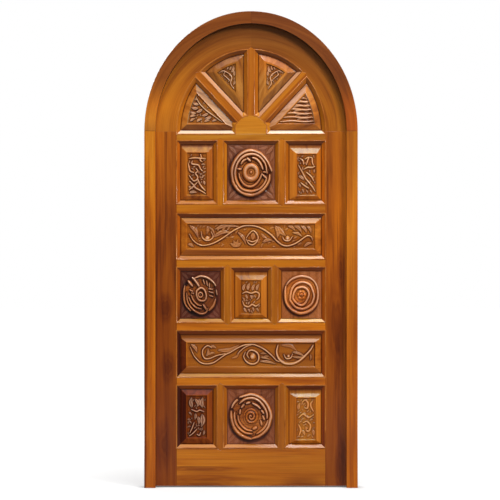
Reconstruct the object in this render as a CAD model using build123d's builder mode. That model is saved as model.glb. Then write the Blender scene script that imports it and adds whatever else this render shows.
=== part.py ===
from build123d import *
import os
from math import cos, pi, radians, sin, sqrt

# Arched and carved panel door in its rebated frame, hung on three butt hinges.
# Millimetres, Z up, front towards -Y. The origin is on the floor under the middle of the frame.

# Frame
frame_width = 1000.0
frame_rise = 562.0
frame_face = 52.0
frame_depth = 80.0
rebate_width = 12.0
loose_tenon_length = 110.0
loose_tenon_width = 26.0
loose_tenon_thickness = 16.0
anchor_radius = 5.0
anchor_depth = 35.0
anchor_low = 420.0
anchor_spacing = 900.0

# Leaf, its mouldings and its joints
leaf_thickness = 40.0
edge_gap = 3.0
stop_gap = 1.0
floor_gap = 5.0
stile_face = 107.0
crown_face = 128.0
moulding_width = 17.0
moulding_depth = 14.0
groove_setback = 3.0
groove_width = 10.0
groove_depth = 12.0
tongue_length = 10.0
mortise_depth = 60.0
bottom_haunch = 45.0
gable_height = 11.0

# Faces of the rails and heights of the openings between them, from the floor up
bottom_rail_face = 178.0
lower_row_height = 295.0
low_cross_rail_face = 38.0
lower_band_height = 220.0
mid_cross_rail_face = 38.0
middle_row_height = 259.0
high_cross_rail_face = 38.0
upper_band_height = 215.0
frieze_rail_face = 45.0
upper_row_height = 298.0
fan_rail_face = 31.0
fan_rail_drop = 12.0

# Uprights, and the side openings of each row as shares of the width between the stiles
muntin_face = 30.0
outer_side_share = 0.2714
middle_side_share = 0.32

# Fan of the arched top
spoke_face = 32.0
spoke_angle = 43.0
hub_radius = 74.0

# Panels
panel_margin = 2.0
panel_bevel = 33.0
panel_top_depth = 4.0
panel_rim = 2.5
field_depth = 9.0
back_bevel = 30.0
back_rise = 6.0
ground_depth = 15.5
wedge_arc_steps = 4

# Stems and leaves of the carving
relief_height = 4.5
stem_width = 9.0
small_stem_width = 7.0
vine_steps = 18
climb_steps = 8

# Rosettes, and the ground left bare beside and above them
rosette_side_gap = 9.0
rosette_end_gap = 15.0
rosette_height = 17.0
rosette_edge = 4.0
rosette_facets = 16
boss_height = 12.0

# Hinges
hinge_length = 125.0
hinge_plate = 2.5
hinge_plate_width = 30.0
hinge_plate_gap = 0.4
hinge_end_drop = 230.0
knuckle_radius = 6.5
knuckle_clearance = 0.5
knuckle_gap = 0.3
barrel_sides = 12
pin_radius = 3.2
pin_clearance = 0.05

# Sizes that follow from those above
frame_half = frame_width / 2
rise_share = frame_rise / frame_half
frame_front = -frame_depth / 2
frame_back = frame_depth / 2
sight_half = frame_half - frame_face
rebate_half = sight_half + rebate_width
leaf_half = rebate_half - edge_gap
leaf_rise = leaf_half * rise_share
leaf_front = frame_back - leaf_thickness
stop_front = leaf_front - stop_gap
panel_half = leaf_half - stile_face
land_half = panel_half - moulding_width
fan_rise = leaf_rise - crown_face
land_rise = fan_rise - moulding_width
groove_front = moulding_depth + groove_setback
groove_back = groove_front + groove_width
groove_span = (leaf_front + groove_front, leaf_front + groove_back)

bottom_rail_top = floor_gap + bottom_rail_face
low_cross_bottom = bottom_rail_top + lower_row_height
low_cross_top = low_cross_bottom + low_cross_rail_face
mid_cross_bottom = low_cross_top + lower_band_height
mid_cross_top = mid_cross_bottom + mid_cross_rail_face
high_cross_bottom = mid_cross_top + middle_row_height
high_cross_top = high_cross_bottom + high_cross_rail_face
frieze_bottom = high_cross_top + upper_band_height
frieze_top = frieze_bottom + frieze_rail_face
fan_rail_bottom = frieze_top + upper_row_height
fan_rail_top = fan_rail_bottom + fan_rail_face
spring_height = fan_rail_top + fan_rail_drop

band_width = 2 * panel_half
outer_row_side = outer_side_share * band_width
middle_row_side = middle_side_share * band_width
centre_width = band_width - 2 * outer_row_side - 2 * muntin_face
middle_width = band_width - 2 * middle_row_side - 2 * muntin_face
outer_muntin_x = panel_half - outer_row_side - muntin_face / 2
middle_muntin_x = panel_half - middle_row_side - muntin_face / 2
outer_side_x = panel_half - outer_row_side / 2
middle_side_x = panel_half - middle_row_side / 2
spoke_land = spoke_face / 2 + moulding_width
hub_land = hub_radius + moulding_width
fan_base_land = moulding_width - fan_rail_drop

axis_x = -(leaf_half + edge_gap / 2)
axis_y = frame_back + knuckle_clearance + knuckle_radius
gain_depth = hinge_plate - (edge_gap - hinge_plate_gap) / 2
hinge_low = floor_gap + hinge_end_drop
hinge_high = spring_height - hinge_end_drop
hinge_heights = {"lower": hinge_low, "middle": (hinge_low + hinge_high) / 2, "upper": hinge_high}

os.makedirs("parts", exist_ok=True)


def keep(piece, name):
    """Label a finished piece and write it out."""
    piece.part.label = name
    export_step(piece.part, f"parts/{name}.step")


def leaf_plane(depth):
    """Sketch plane that faces the viewer, a given depth behind the front face of the leaf."""
    return Plane.XZ.offset(-(leaf_front + depth))


def outline_face(points, plane):
    """Flat face inside a closed run of straight edges."""
    with BuildSketch(plane) as drawing:
        with BuildLine():
            Polyline(*points, close=True)
        make_face()
    return drawing.sketch


def block(x_span, y_span, z_span, mode=Mode.ADD):
    """Rectangular block between pairs of limits, added to or cut from the piece in hand."""
    spans = [sorted(span) for span in (x_span, y_span, z_span)]
    with Locations(tuple((low + high) / 2 for low, high in spans)):
        Box(*(high - low for low, high in spans), mode=mode)


def frustum(back_points, front_points, back, front, mode=Mode.ADD):
    """Convex body with flat sides between an outline at one depth and an outline at another."""
    corners = [(x, leaf_front + back, z) for x, z in back_points]
    corners += [(x, leaf_front + front, z) for x, z in front_points]
    ConvexPolyhedron(corners, mode=mode)


def bar_section(face, low_moulded=True, high_moulded=True):
    """Section of a leaf member as (across, depth) points, its face running from zero to face."""
    moulded = [
        (-moulding_width, leaf_thickness),
        (-moulding_width, groove_back),
        (groove_depth - moulding_width, groove_back),
        (groove_depth - moulding_width, groove_front),
        (-moulding_width, groove_front),
        (-moulding_width, moulding_depth),
        (0, 0),
    ]
    square = [(0, leaf_thickness), (0, 0)]
    low = moulded if low_moulded else square
    high = moulded if high_moulded else square
    return low + [(face - across, depth) for across, depth in reversed(high)]


# Jambs of the frame, rebated from the back for the leaf

spring_tenon_x = (rebate_half + frame_half) / 2
spring_tenon_span = (spring_tenon_x - loose_tenon_width / 2, spring_tenon_x + loose_tenon_width / 2)
tenon_y_span = (-loose_tenon_thickness / 2, loose_tenon_thickness / 2)


def jamb(side):
    section = [
        (rebate_half, frame_back),
        (rebate_half, stop_front),
        (sight_half, stop_front),
        (sight_half, frame_front),
        (frame_half, frame_front),
        (frame_half, frame_back),
    ]
    anchor_plane = Plane(
        origin=(side * frame_half, (frame_front + stop_front) / 2, anchor_low),
        x_dir=(0, 1, 0),
        z_dir=(side, 0, 0),
    )
    with BuildPart() as post:
        extrude(outline_face([(side * x, y) for x, y in section], Plane.XY), amount=spring_height)
        block(
            [side * x for x in spring_tenon_span],
            tenon_y_span,
            (spring_height - loose_tenon_length / 2, spring_height),
            Mode.SUBTRACT,
        )
        with BuildSketch(anchor_plane) as anchors:
            with Locations((0, 0), (0, side * anchor_spacing)):
                Circle(anchor_radius)
        extrude(anchors.sketch, amount=-anchor_depth, mode=Mode.SUBTRACT)
        if side < 0:
            for height in hinge_heights.values():
                block(
                    (-rebate_half - gain_depth, -rebate_half),
                    (frame_back - hinge_plate_width, frame_back),
                    (height - hinge_length / 2, height + hinge_length / 2),
                    Mode.SUBTRACT,
                )
    return post


keep(jamb(-1), "left_jamb")
keep(jamb(1), "right_jamb")


# Arched head of the frame, in two halves that meet at the crown

def arch_face(radii, y):
    """Ellipse about the middle of the springing line, at a given Y."""
    with BuildSketch(Plane.XZ.offset(-y)) as drawing:
        with Locations((0, spring_height)):
            Ellipse(*radii)
    return drawing.sketch


def arch_disc(radii, back, front, mode=Mode.ADD):
    """Straight-sided elliptical disc between two Y values."""
    extrude(arch_face(radii, back), amount=back - front, mode=mode)


def grown(radii, amount):
    """Both radii of an ellipse made larger by one amount."""
    return (radii[0] + amount, radii[1] + amount)


frame_radii = (frame_half, frame_rise)
sight_radii = (sight_half, sight_half * rise_share)
rebate_radii = (rebate_half, rebate_half * rise_share)
crown_tenon_z = spring_height + (frame_rise + rebate_radii[1]) / 2


def arch_head(side):
    with BuildPart() as head:
        arch_disc(frame_radii, frame_back, frame_front)
        arch_disc(rebate_radii, frame_back, stop_front, Mode.SUBTRACT)
        arch_disc(sight_radii, stop_front, frame_front, Mode.SUBTRACT)
        split(bisect_by=Plane.XY.offset(spring_height), keep=Keep.TOP)
        split(bisect_by=Plane.YZ, keep=Keep.TOP if side > 0 else Keep.BOTTOM)
        block(
            (-loose_tenon_length / 2, loose_tenon_length / 2),
            tenon_y_span,
            (crown_tenon_z - loose_tenon_width / 2, crown_tenon_z + loose_tenon_width / 2),
            Mode.SUBTRACT,
        )
        block(
            [side * x for x in spring_tenon_span],
            tenon_y_span,
            (spring_height, spring_height + loose_tenon_length / 2),
            Mode.SUBTRACT,
        )
    return head


keep(arch_head(-1), "arch_head_left")
keep(arch_head(1), "arch_head_right")

# Loose tenons across the joints of the frame
with BuildPart() as crown_tenon:
    with Locations((0, 0, crown_tenon_z)):
        Box(loose_tenon_length, loose_tenon_thickness, loose_tenon_width)
keep(crown_tenon, "crown_tenon")

for name, side in (("left", -1), ("right", 1)):
    with BuildPart() as spring_tenon:
        with Locations((side * spring_tenon_x, 0, spring_height)):
            Box(loose_tenon_width, loose_tenon_thickness, loose_tenon_length)
    keep(spring_tenon, f"{name}_spring_tenon")


# Stiles of the leaf, grooved for the panels and mortised for the rails

rail_faces = {
    "bottom_rail": (floor_gap, bottom_rail_top),
    "low_cross_rail": (low_cross_bottom, low_cross_top),
    "mid_cross_rail": (mid_cross_bottom, mid_cross_top),
    "high_cross_rail": (high_cross_bottom, high_cross_top),
    "frieze_rail": (frieze_bottom, frieze_top),
    "fan_rail": (fan_rail_bottom, fan_rail_top),
}
arch_tenon_x = (land_half + mortise_depth + leaf_half) / 2
arch_tenon_width = (leaf_half - land_half - mortise_depth) / 2
arch_tenon_span = (arch_tenon_x - arch_tenon_width / 2, arch_tenon_x + arch_tenon_width / 2)


def stile(side):
    section = bar_section(stile_face, low_moulded=False)
    points = [(side * (leaf_half - across), leaf_front + depth) for across, depth in section]
    with BuildPart() as post:
        extrude(outline_face(points, Plane.XY.offset(floor_gap)), amount=spring_height - floor_gap)
        for rail_name, (low, high) in rail_faces.items():
            foot = low + bottom_haunch if rail_name == "bottom_rail" else low
            mortise_span = (side * land_half, side * (land_half + mortise_depth))
            block(mortise_span, groove_span, (foot, high), Mode.SUBTRACT)
        block(
            [side * x for x in arch_tenon_span],
            groove_span,
            (spring_height - mortise_depth, spring_height),
            Mode.SUBTRACT,
        )
        if side < 0:
            for height in hinge_heights.values():
                block(
                    (-leaf_half, -leaf_half + gain_depth),
                    (frame_back - hinge_plate_width, frame_back),
                    (height - hinge_length / 2, height + hinge_length / 2),
                    Mode.SUBTRACT,
                )
    return post


hinge_stile = stile(-1)
lock_stile = stile(1)
keep(hinge_stile, "hinge_stile")
keep(lock_stile, "lock_stile")


# Arched top rail of the leaf, in two halves tenoned into the stiles and housed for the spokes

fan_radii = (panel_half, fan_rise)
land_radii = (land_half, land_rise)
spoke_angles = {"left": -spoke_angle, "middle": 0, "right": spoke_angle}


def ray(angle):
    """Directions along and across a ray from the springing centre, its angle counted from upright."""
    turn = radians(angle)
    return (sin(turn), cos(turn)), (cos(turn), -sin(turn))


def fan_reach(angle, radii):
    """Distance from the springing centre to an ellipse along a ray."""
    along, across = ray(angle)
    return 1 / sqrt((along[0] / radii[0]) ** 2 + (along[1] / radii[1]) ** 2)


def spoke_housing(angle):
    """Outline of the pointed end of a spoke where it is let into the arched rail."""
    along, across = ray(angle)
    half = spoke_face / 2
    near = fan_reach(angle, land_radii) - moulding_width
    far = fan_reach(angle, fan_radii)
    shape = [(-half, near), (half, near), (half, far), (0, far + gable_height), (-half, far)]
    return [(u * across[0] + v * along[0], spring_height + u * across[1] + v * along[1]) for u, v in shape]


with BuildPart() as arch_ring:
    arch_disc((leaf_half, leaf_rise), frame_back, leaf_front)
    moulding_foot = arch_face(land_radii, leaf_front + moulding_depth).face()
    loft([moulding_foot, arch_face(fan_radii, leaf_front).face()], ruled=True, mode=Mode.SUBTRACT)
    arch_disc(land_radii, frame_back, leaf_front + moulding_depth, Mode.SUBTRACT)
    arch_disc(grown(land_radii, groove_depth), *reversed(groove_span), Mode.SUBTRACT)
    split(bisect_by=Plane.XY.offset(spring_height), keep=Keep.TOP)
    for angle in spoke_angles.values():
        housing = outline_face(spoke_housing(angle), leaf_plane(moulding_depth))
        extrude(housing, amount=moulding_depth, mode=Mode.SUBTRACT)
    block(
        (-spoke_face / 2, spoke_face / 2),
        groove_span,
        (spring_height + land_rise, spring_height + land_rise + mortise_depth),
        Mode.SUBTRACT,
    )
    tenon_height = (spring_height - mortise_depth, spring_height + groove_depth)
    for side in (-1, 1):
        block([side * x for x in arch_tenon_span], groove_span, tenon_height)

for name, half in (("left", Keep.BOTTOM), ("right", Keep.TOP)):
    with BuildPart() as arch_rail:
        add(arch_ring.part)
        split(bisect_by=Plane.YZ, keep=half)
    keep(arch_rail, f"arch_rail_{name}")


# Rails, scribed over the mouldings of the stiles and housed for the pointed ends of the uprights

def muntin_housing(x, edge, outward):
    """Outline of the pointed end of an upright where it is let into a rail; outward is 1 above the rail."""
    half = muntin_face / 2
    land = edge + outward * moulding_width
    point = edge - outward * gable_height
    return [(x - half, land), (x + half, land), (x + half, edge), (x, point), (x - half, edge)]


def rail(name, muntins_below=(), muntins_above=(), low_moulded=True):
    low, high = rail_faces[name]
    section = bar_section(high - low, low_moulded=low_moulded)
    points = [(leaf_front + depth, low + across) for across, depth in section]
    reach = land_half + mortise_depth
    housings = [muntin_housing(x, low, -1) for x in muntins_below]
    housings += [muntin_housing(x, high, 1) for x in muntins_above]
    with BuildPart() as bar:
        extrude(outline_face(points, Plane.YZ.offset(-reach)), amount=2 * reach)
        for housing in housings:
            pocket = outline_face(housing, leaf_plane(moulding_depth))
            extrude(pocket, amount=moulding_depth, mode=Mode.SUBTRACT)
        for neighbour in (hinge_stile, lock_stile, arch_ring):
            add(neighbour.part, mode=Mode.SUBTRACT)
    keep(bar, name)
    return bar


outer_muntins = (-outer_muntin_x, outer_muntin_x)
middle_muntins = (-middle_muntin_x, middle_muntin_x)
bottom_rail = rail("bottom_rail", muntins_above=outer_muntins, low_moulded=False)
low_cross_rail = rail("low_cross_rail", muntins_below=outer_muntins)
mid_cross_rail = rail("mid_cross_rail", muntins_above=middle_muntins)
high_cross_rail = rail("high_cross_rail", muntins_below=middle_muntins)
frieze_rail = rail("frieze_rail", muntins_above=outer_muntins)
fan_rail = rail("fan_rail", muntins_below=outer_muntins)


# Uprights between the rails, their ends cut to whatever they meet

def muntin(x, low, high, rails):
    edge = x - muntin_face / 2
    points = [(edge + across, leaf_front + depth) for across, depth in bar_section(muntin_face)]
    foot = Plane.XY.offset(low - gable_height)
    with BuildPart() as bar:
        extrude(outline_face(points, foot), amount=high - low + 2 * gable_height)
        for neighbour in rails:
            add(neighbour.part, mode=Mode.SUBTRACT)
    return bar


row_openings = {
    "lower": (bottom_rail_top, low_cross_bottom),
    "middle": (mid_cross_top, high_cross_bottom),
    "upper": (frieze_top, fan_rail_bottom),
}
row_muntins = {
    "lower": (outer_muntin_x, (bottom_rail, low_cross_rail)),
    "middle": (middle_muntin_x, (mid_cross_rail, high_cross_rail)),
    "upper": (outer_muntin_x, (frieze_rail, fan_rail)),
}
for row_name, (offset, rails) in row_muntins.items():
    for side_name, side in (("left", -1), ("right", 1)):
        keep(muntin(side * offset, *row_openings[row_name], rails), f"{row_name}_muntin_{side_name}")


# Hub of the fan, standing on the fan rail, with a flat side square to each spoke

def hub_points(apothem):
    """Half polygon about the springing centre, reaching down into the fan rail."""
    foot = fan_rail_top - moulding_width
    facings = [-90, *sorted(spoke_angles.values()), 90]
    points = [(-apothem, foot)]
    for one, two in zip(facings, facings[1:]):
        along, across = ray((one + two) / 2)
        reach = apothem / cos(radians((two - one) / 2))
        points.append((reach * along[0], spring_height + reach * along[1]))
    return points + [(apothem, foot)]


def hub_layer(apothem, back, front, mode=Mode.ADD):
    """Straight-sided layer of the hub's outline between two depths."""
    extrude(outline_face(hub_points(apothem), leaf_plane(back)), amount=back - front, mode=mode)


with BuildPart() as fan_hub:
    frustum(hub_points(hub_land), hub_points(hub_radius), moulding_depth, 0)
    hub_layer(hub_land, groove_front, moulding_depth)
    hub_layer(hub_land - groove_depth, groove_back, groove_front)
    hub_layer(hub_land, leaf_thickness, groove_back)
    split(bisect_by=Plane.XY.offset(fan_rail_top), keep=Keep.TOP)
    add(fan_rail.part, mode=Mode.SUBTRACT)
keep(fan_hub, "fan_hub")


# Spokes from the hub to the arched rail

def spoke(angle, tail, neighbours):
    along, across = ray(angle)
    near = hub_radius - moulding_width
    start = Plane(
        origin=(near * along[0], leaf_front, spring_height + near * along[1]),
        x_dir=(across[0], 0, across[1]),
        z_dir=(along[0], 0, along[1]),
    )
    points = [(place - spoke_face / 2, depth) for place, depth in bar_section(spoke_face)]
    with BuildPart() as bar:
        extrude(outline_face(points, start), amount=tail - near)
        for neighbour in neighbours:
            add(neighbour.part, mode=Mode.SUBTRACT)
    return bar


slant_tail = fan_reach(spoke_angle, fan_radii) + gable_height
middle_spoke = spoke(0, land_rise + mortise_depth, [fan_hub, fan_rail, arch_ring])
keep(middle_spoke, "middle_spoke")
for name in ("left", "right"):
    neighbours = [fan_hub, fan_rail, middle_spoke, arch_ring]
    keep(spoke(spoke_angles[name], slant_tail, neighbours), f"{name}_spoke")


# Carving: stems and leaves laid out as shares of the field that holds them

leaf_outline_shares = [(0, 0), (0.3, 1), (0.7, 0.7), (1, 0), (0.7, -0.7), (0.3, -1)]
leaf_keel_shares = [(0.2, 0), (0.75, 0)]


def leaf(start, end, fullness, depth):
    """Pointed leaf between two points, rising to a keel; fullness is a share of its length."""
    run = (end[0] - start[0], end[1] - start[1])

    def place(along, across):
        side = across * fullness
        return (start[0] + along * run[0] - side * run[1], start[1] + along * run[1] + side * run[0])

    outline = [place(*share) for share in leaf_outline_shares]
    keel = [place(*share) for share in leaf_keel_shares]
    frustum(outline, keel, depth, depth - relief_height)


def ribbon_face(points, width, plane):
    """Flat band that follows points, thinning at both ends."""
    left = []
    right = []
    last = len(points) - 1
    for index, (x, z) in enumerate(points):
        before = points[max(index - 1, 0)]
        after = points[min(index + 1, last)]
        run = (after[0] - before[0], after[1] - before[1])
        length = sqrt(run[0] ** 2 + run[1] ** 2)
        half = width / 2 if 0 < index < last else width / 4
        shift = (-run[1] / length * half, run[0] / length * half)
        left.append((x + shift[0], z + shift[1]))
        right.append((x - shift[0], z - shift[1]))
    return outline_face(left + right[::-1], plane)


def carve(stem, leaves, corner, size, width):
    """Raise a stem and leaves from a sunk field; places are shares of the field's width and height."""

    def place(u, v):
        return (corner[0] + u * size[0], corner[1] + v * size[1])

    band = ribbon_face([place(u, v) for u, v in stem], width, leaf_plane(field_depth))
    extrude(band, amount=relief_height)
    for start_u, start_v, end_u, end_v, fullness in leaves:
        leaf(place(start_u, start_v), place(end_u, end_v), fullness, field_depth)


# Panels: a tongued board with a plain fielded back, raised and sunk for the carving in front

board_inset = moulding_width + panel_margin
bevel_inset = board_inset + panel_bevel
field_inset = bevel_inset + panel_rim


def oblong(width, height, x, z, inset):
    """Corners of an opening drawn in by an inset."""
    half_width = width / 2 - inset
    half_height = height / 2 - inset
    return [(x + u * half_width, z + v * half_height) for u, v in ((-1, -1), (1, -1), (1, 1), (-1, 1))]


def panel_core(width, height, x, z):
    """Board tongued into its grooves; width and height are of the opening between faces."""
    tongue = oblong(width, height, x, z, moulding_width - tongue_length)
    extrude(outline_face(tongue, leaf_plane(groove_back)), amount=groove_width)
    back_field = oblong(width, height, x, z, board_inset + back_bevel)
    frustum(oblong(width, height, x, z, board_inset), back_field, groove_back, groove_back + back_rise)


def fielded_panel(width, height, x, z, stem, leaves, stem_size):
    """Raised panel with a sunk and carved field."""
    field = oblong(width, height, x, z, field_inset)
    field_size = (width - 2 * field_inset, height - 2 * field_inset)
    with BuildPart() as board:
        panel_core(width, height, x, z)
        bevel_top = oblong(width, height, x, z, bevel_inset)
        frustum(oblong(width, height, x, z, board_inset), bevel_top, groove_front, panel_top_depth)
        sink = field_depth - panel_top_depth
        extrude(outline_face(field, leaf_plane(field_depth)), amount=sink, mode=Mode.SUBTRACT)
        carve(stem, leaves, field[0], field_size, stem_size)
    return board


# Long panels: a vine that waves along the field, with buds and leaves in its bends

vine_low_share = 0.13
vine_period_share = 0.66
vine_swing_share = 0.39
vine_start_share = 0.01
vine_length_share = 0.95
vine_shares = []
for step in range(vine_steps + 1):
    u = vine_start_share + vine_length_share * step / vine_steps
    vine_shares.append((u, 1 / 2 - vine_swing_share * cos(2 * pi * (u - vine_low_share) / vine_period_share)))

upper_leaf_shares = [
    (0.155, 0.27, 0.155, 0.90, 0.30),
    (0.20, 0.52, 0.29, 0.92, 0.20),
    (0.25, 0.24, 0.35, 0.10, 0.22),
    (0.47, 0.06, 0.47, 0.74, 0.32),
    (0.43, 0.50, 0.36, 0.24, 0.22),
    (0.53, 0.38, 0.62, 0.16, 0.24),
    (0.79, 0.26, 0.79, 0.74, 0.36),
    (0.84, 0.44, 0.92, 0.92, 0.18),
    (0.68, 0.62, 0.73, 0.93, 0.26),
]
lower_leaf_shares = [
    (0.16, 0.27, 0.16, 0.90, 0.34),
    (0.21, 0.60, 0.28, 0.92, 0.22),
    (0.25, 0.26, 0.36, 0.10, 0.20),
    (0.47, 0.06, 0.47, 0.72, 0.34),
    (0.41, 0.52, 0.37, 0.20, 0.26),
    (0.53, 0.48, 0.63, 0.14, 0.18),
    (0.77, 0.26, 0.77, 0.92, 0.28),
    (0.83, 0.42, 0.91, 0.66, 0.22),
    (0.67, 0.66, 0.71, 0.94, 0.24),
]
bands = {
    "lower_vine_panel": (low_cross_top, mid_cross_bottom, lower_leaf_shares),
    "upper_vine_panel": (high_cross_top, frieze_bottom, upper_leaf_shares),
}
for name, (low, high, leaves) in bands.items():
    keep(fielded_panel(band_width, high - low, 0, (low + high) / 2, vine_shares, leaves, stem_width), name)


# Small panels: a stem that climbs from side to side between leaves

climb_swing_share = 0.17
climb_waves = 1.5
climb_start_share = 0.04
climb_length_share = 0.92
climb_shares = []
for step in range(climb_steps + 1):
    v = climb_start_share + climb_length_share * step / climb_steps
    climb_shares.append((1 / 2 - climb_swing_share * cos(2 * pi * climb_waves * v), v))

climb_leaf_shares = [
    (0.50, 0.10, 0.92, 0.06, 0.22),
    (0.48, 0.24, 0.08, 0.34, 0.24),
    (0.74, 0.38, 0.92, 0.58, 0.26),
    (0.26, 0.72, 0.10, 0.92, 0.26),
    (0.56, 0.84, 0.92, 0.78, 0.22),
]
small_panels = {
    "lower_left_panel": (outer_row_side, -outer_side_x, "lower"),
    "lower_right_panel": (outer_row_side, outer_side_x, "lower"),
    "middle_panel": (middle_width, 0, "middle"),
    "upper_left_panel": (outer_row_side, -outer_side_x, "upper"),
    "upper_right_panel": (outer_row_side, outer_side_x, "upper"),
}


def turned(share, right_hand):
    """A share across a field, counted from the other edge on the right-hand side of the leaf."""
    return 1 - share if right_hand else share


for name, (width, x, row_name) in small_panels.items():
    low, high = row_openings[row_name]
    right_hand = x > 0
    stem = [(turned(u, right_hand), v) for u, v in climb_shares]
    leaves = []
    for u, v, p, q, fullness in climb_leaf_shares:
        leaves.append((turned(u, right_hand), v, turned(p, right_hand), q, fullness))
    keep(fielded_panel(width, high - low, x, (low + high) / 2, stem, leaves, small_stem_width), name)


# Wedge panels of the fan, between two rays

def meet_ellipse(point, along, radii):
    """Where a line from a point inside an ellipse about the springing centre leaves it."""
    a = (along[0] / radii[0]) ** 2 + (along[1] / radii[1]) ** 2
    b = 2 * (point[0] * along[0] / radii[0] ** 2 + point[1] * along[1] / radii[1] ** 2)
    c = (point[0] / radii[0]) ** 2 + (point[1] / radii[1]) ** 2 - 1
    run = (sqrt(b * b - 4 * a * c) - b) / (2 * a)
    return (point[0] + run * along[0], point[1] + run * along[1])


def wedge_points(first, second, inset):
    """Tip of a wedge drawn in by an inset, then points along its arc from the first ray to the second."""
    radii = grown(land_radii, -inset)
    along, across = ray(first[0])
    other_along, other_across = ray(second[0])
    start = [k * (first[1] + inset) for k in across]
    other = [-k * (second[1] + inset) for k in other_across]
    gap = (other[0] - start[0], other[1] - start[1])
    turn = along[0] * other_along[1] - along[1] * other_along[0]
    run = (gap[0] * other_along[1] - gap[1] * other_along[0]) / turn
    tip = (start[0] + run * along[0], start[1] + run * along[1])
    one = meet_ellipse(tip, along, radii)
    two = meet_ellipse(tip, other_along, radii)
    points = [tip]
    for step in range(wedge_arc_steps + 1):
        share = step / wedge_arc_steps
        lean = (one[0] + share * (two[0] - one[0]), one[1] + share * (two[1] - one[1]))
        size = sqrt((lean[0] / radii[0]) ** 2 + (lean[1] / radii[1]) ** 2)
        points.append((lean[0] / size, lean[1] / size))
    return [(x, z + spring_height) for x, z in points]


def wedge_panel(first, second, leaves, side):
    """Raised, sunk and carved panel between two rays, drawn on the right and mirrored for the left."""
    board = wedge_points(first, second, panel_margin)
    bevel_top = wedge_points(first, second, panel_margin + panel_bevel)
    field = wedge_points(first, second, panel_margin + panel_bevel + panel_rim)
    tongue = wedge_points(first, second, -tongue_length)
    tip, one, two = field[0], field[1], field[-1]

    def place(p, q):
        return (
            tip[0] + p * (one[0] - tip[0]) + q * (two[0] - tip[0]),
            tip[1] + p * (one[1] - tip[1]) + q * (two[1] - tip[1]),
        )

    with BuildPart() as panel:
        frustum(board, bevel_top, groove_front, panel_top_depth)
        sink = field_depth - panel_top_depth
        extrude(outline_face(field, leaf_plane(field_depth)), amount=sink, mode=Mode.SUBTRACT)
        extrude(outline_face(board, leaf_plane(groove_back)), amount=-back_rise)
        hub_layer(hub_land + panel_margin, leaf_thickness, 0, Mode.SUBTRACT)
        extrude(outline_face(tongue, leaf_plane(groove_back)), amount=groove_width)
        hub_layer(hub_land - tongue_length, groove_back, groove_front, Mode.SUBTRACT)
        for start_first, start_second, end_first, end_second, fullness in leaves:
            leaf(place(start_first, start_second), place(end_first, end_second), fullness, field_depth)
        if side < 0:
            mirror(about=Plane.YZ, mode=Mode.REPLACE)
    return panel


leaning_leaf_shares = [
    (0.16, 0.14, 0.78, 0.08, 0.12),
    (0.26, 0.30, 0.62, 0.28, 0.22),
    (0.12, 0.38, 0.34, 0.56, 0.20),
    (0.06, 0.58, 0.08, 0.86, 0.20),
]
louvre_leaf_shares = [
    (0.07, 0.26, 0.07, 0.86, 0.09),
    (0.24, 0.22, 0.24, 0.70, 0.11),
    (0.41, 0.18, 0.41, 0.53, 0.14),
    (0.58, 0.12, 0.58, 0.37, 0.18),
]
middle_ray = (0, spoke_land)
slant_ray = (spoke_angle, spoke_land)
floor_ray = (90, fan_base_land)
wedges = {
    "fan_panel_far_left": (slant_ray, floor_ray, leaning_leaf_shares, -1),
    "fan_panel_left": (middle_ray, slant_ray, leaning_leaf_shares, -1),
    "fan_panel_right": (middle_ray, slant_ray, leaning_leaf_shares, 1),
    "fan_panel_far_right": (slant_ray, floor_ray, louvre_leaf_shares, 1),
}
for name, wedge in wedges.items():
    keep(wedge_panel(*wedge), name)


# Ground panels, flat behind the rosettes, with a leaf in each corner

corner_leaf_share = (0.045, 0.045, 0.15, 0.14, 0.22)


def ground_panel(width, height, x, z):
    board = oblong(width, height, x, z, board_inset)
    size = (width - 2 * board_inset, height - 2 * board_inset)
    u, v, p, q, fullness = corner_leaf_share
    with BuildPart() as panel:
        panel_core(width, height, x, z)
        extrude(outline_face(board, leaf_plane(groove_front)), amount=groove_front - ground_depth)
        for across in (1, -1):
            for up in (1, -1):
                start = (x + across * (u - 1 / 2) * size[0], z + up * (v - 1 / 2) * size[1])
                end = (x + across * (p - 1 / 2) * size[0], z + up * (q - 1 / 2) * size[1])
                leaf(start, end, fullness, ground_depth)
    return panel


# Rosettes: faceted rings with sharp crests, a whorl of leaves and a boss

# Each ring climbs from its foot to its crest and falls to the valley inside it; heights share the rosette's
ring_shares = [
    {"foot": 1.0, "crest": 0.91, "valley": 0.79, "crest_height": 0.85, "valley_height": 0.40},
    {"foot": 0.79, "crest": 0.70, "valley": 0.58, "crest_height": 1.0, "valley_height": 0.40},
    {"foot": 0.58, "crest": 0.50, "valley": 0.42, "crest_height": 0.9, "valley_height": 0.30},
]
whorl_leaves = 5
whorl_share = 0.40
whorl_fullness_share = 0.22
boss_share = 0.22
boss_top_share = 0.08


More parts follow.
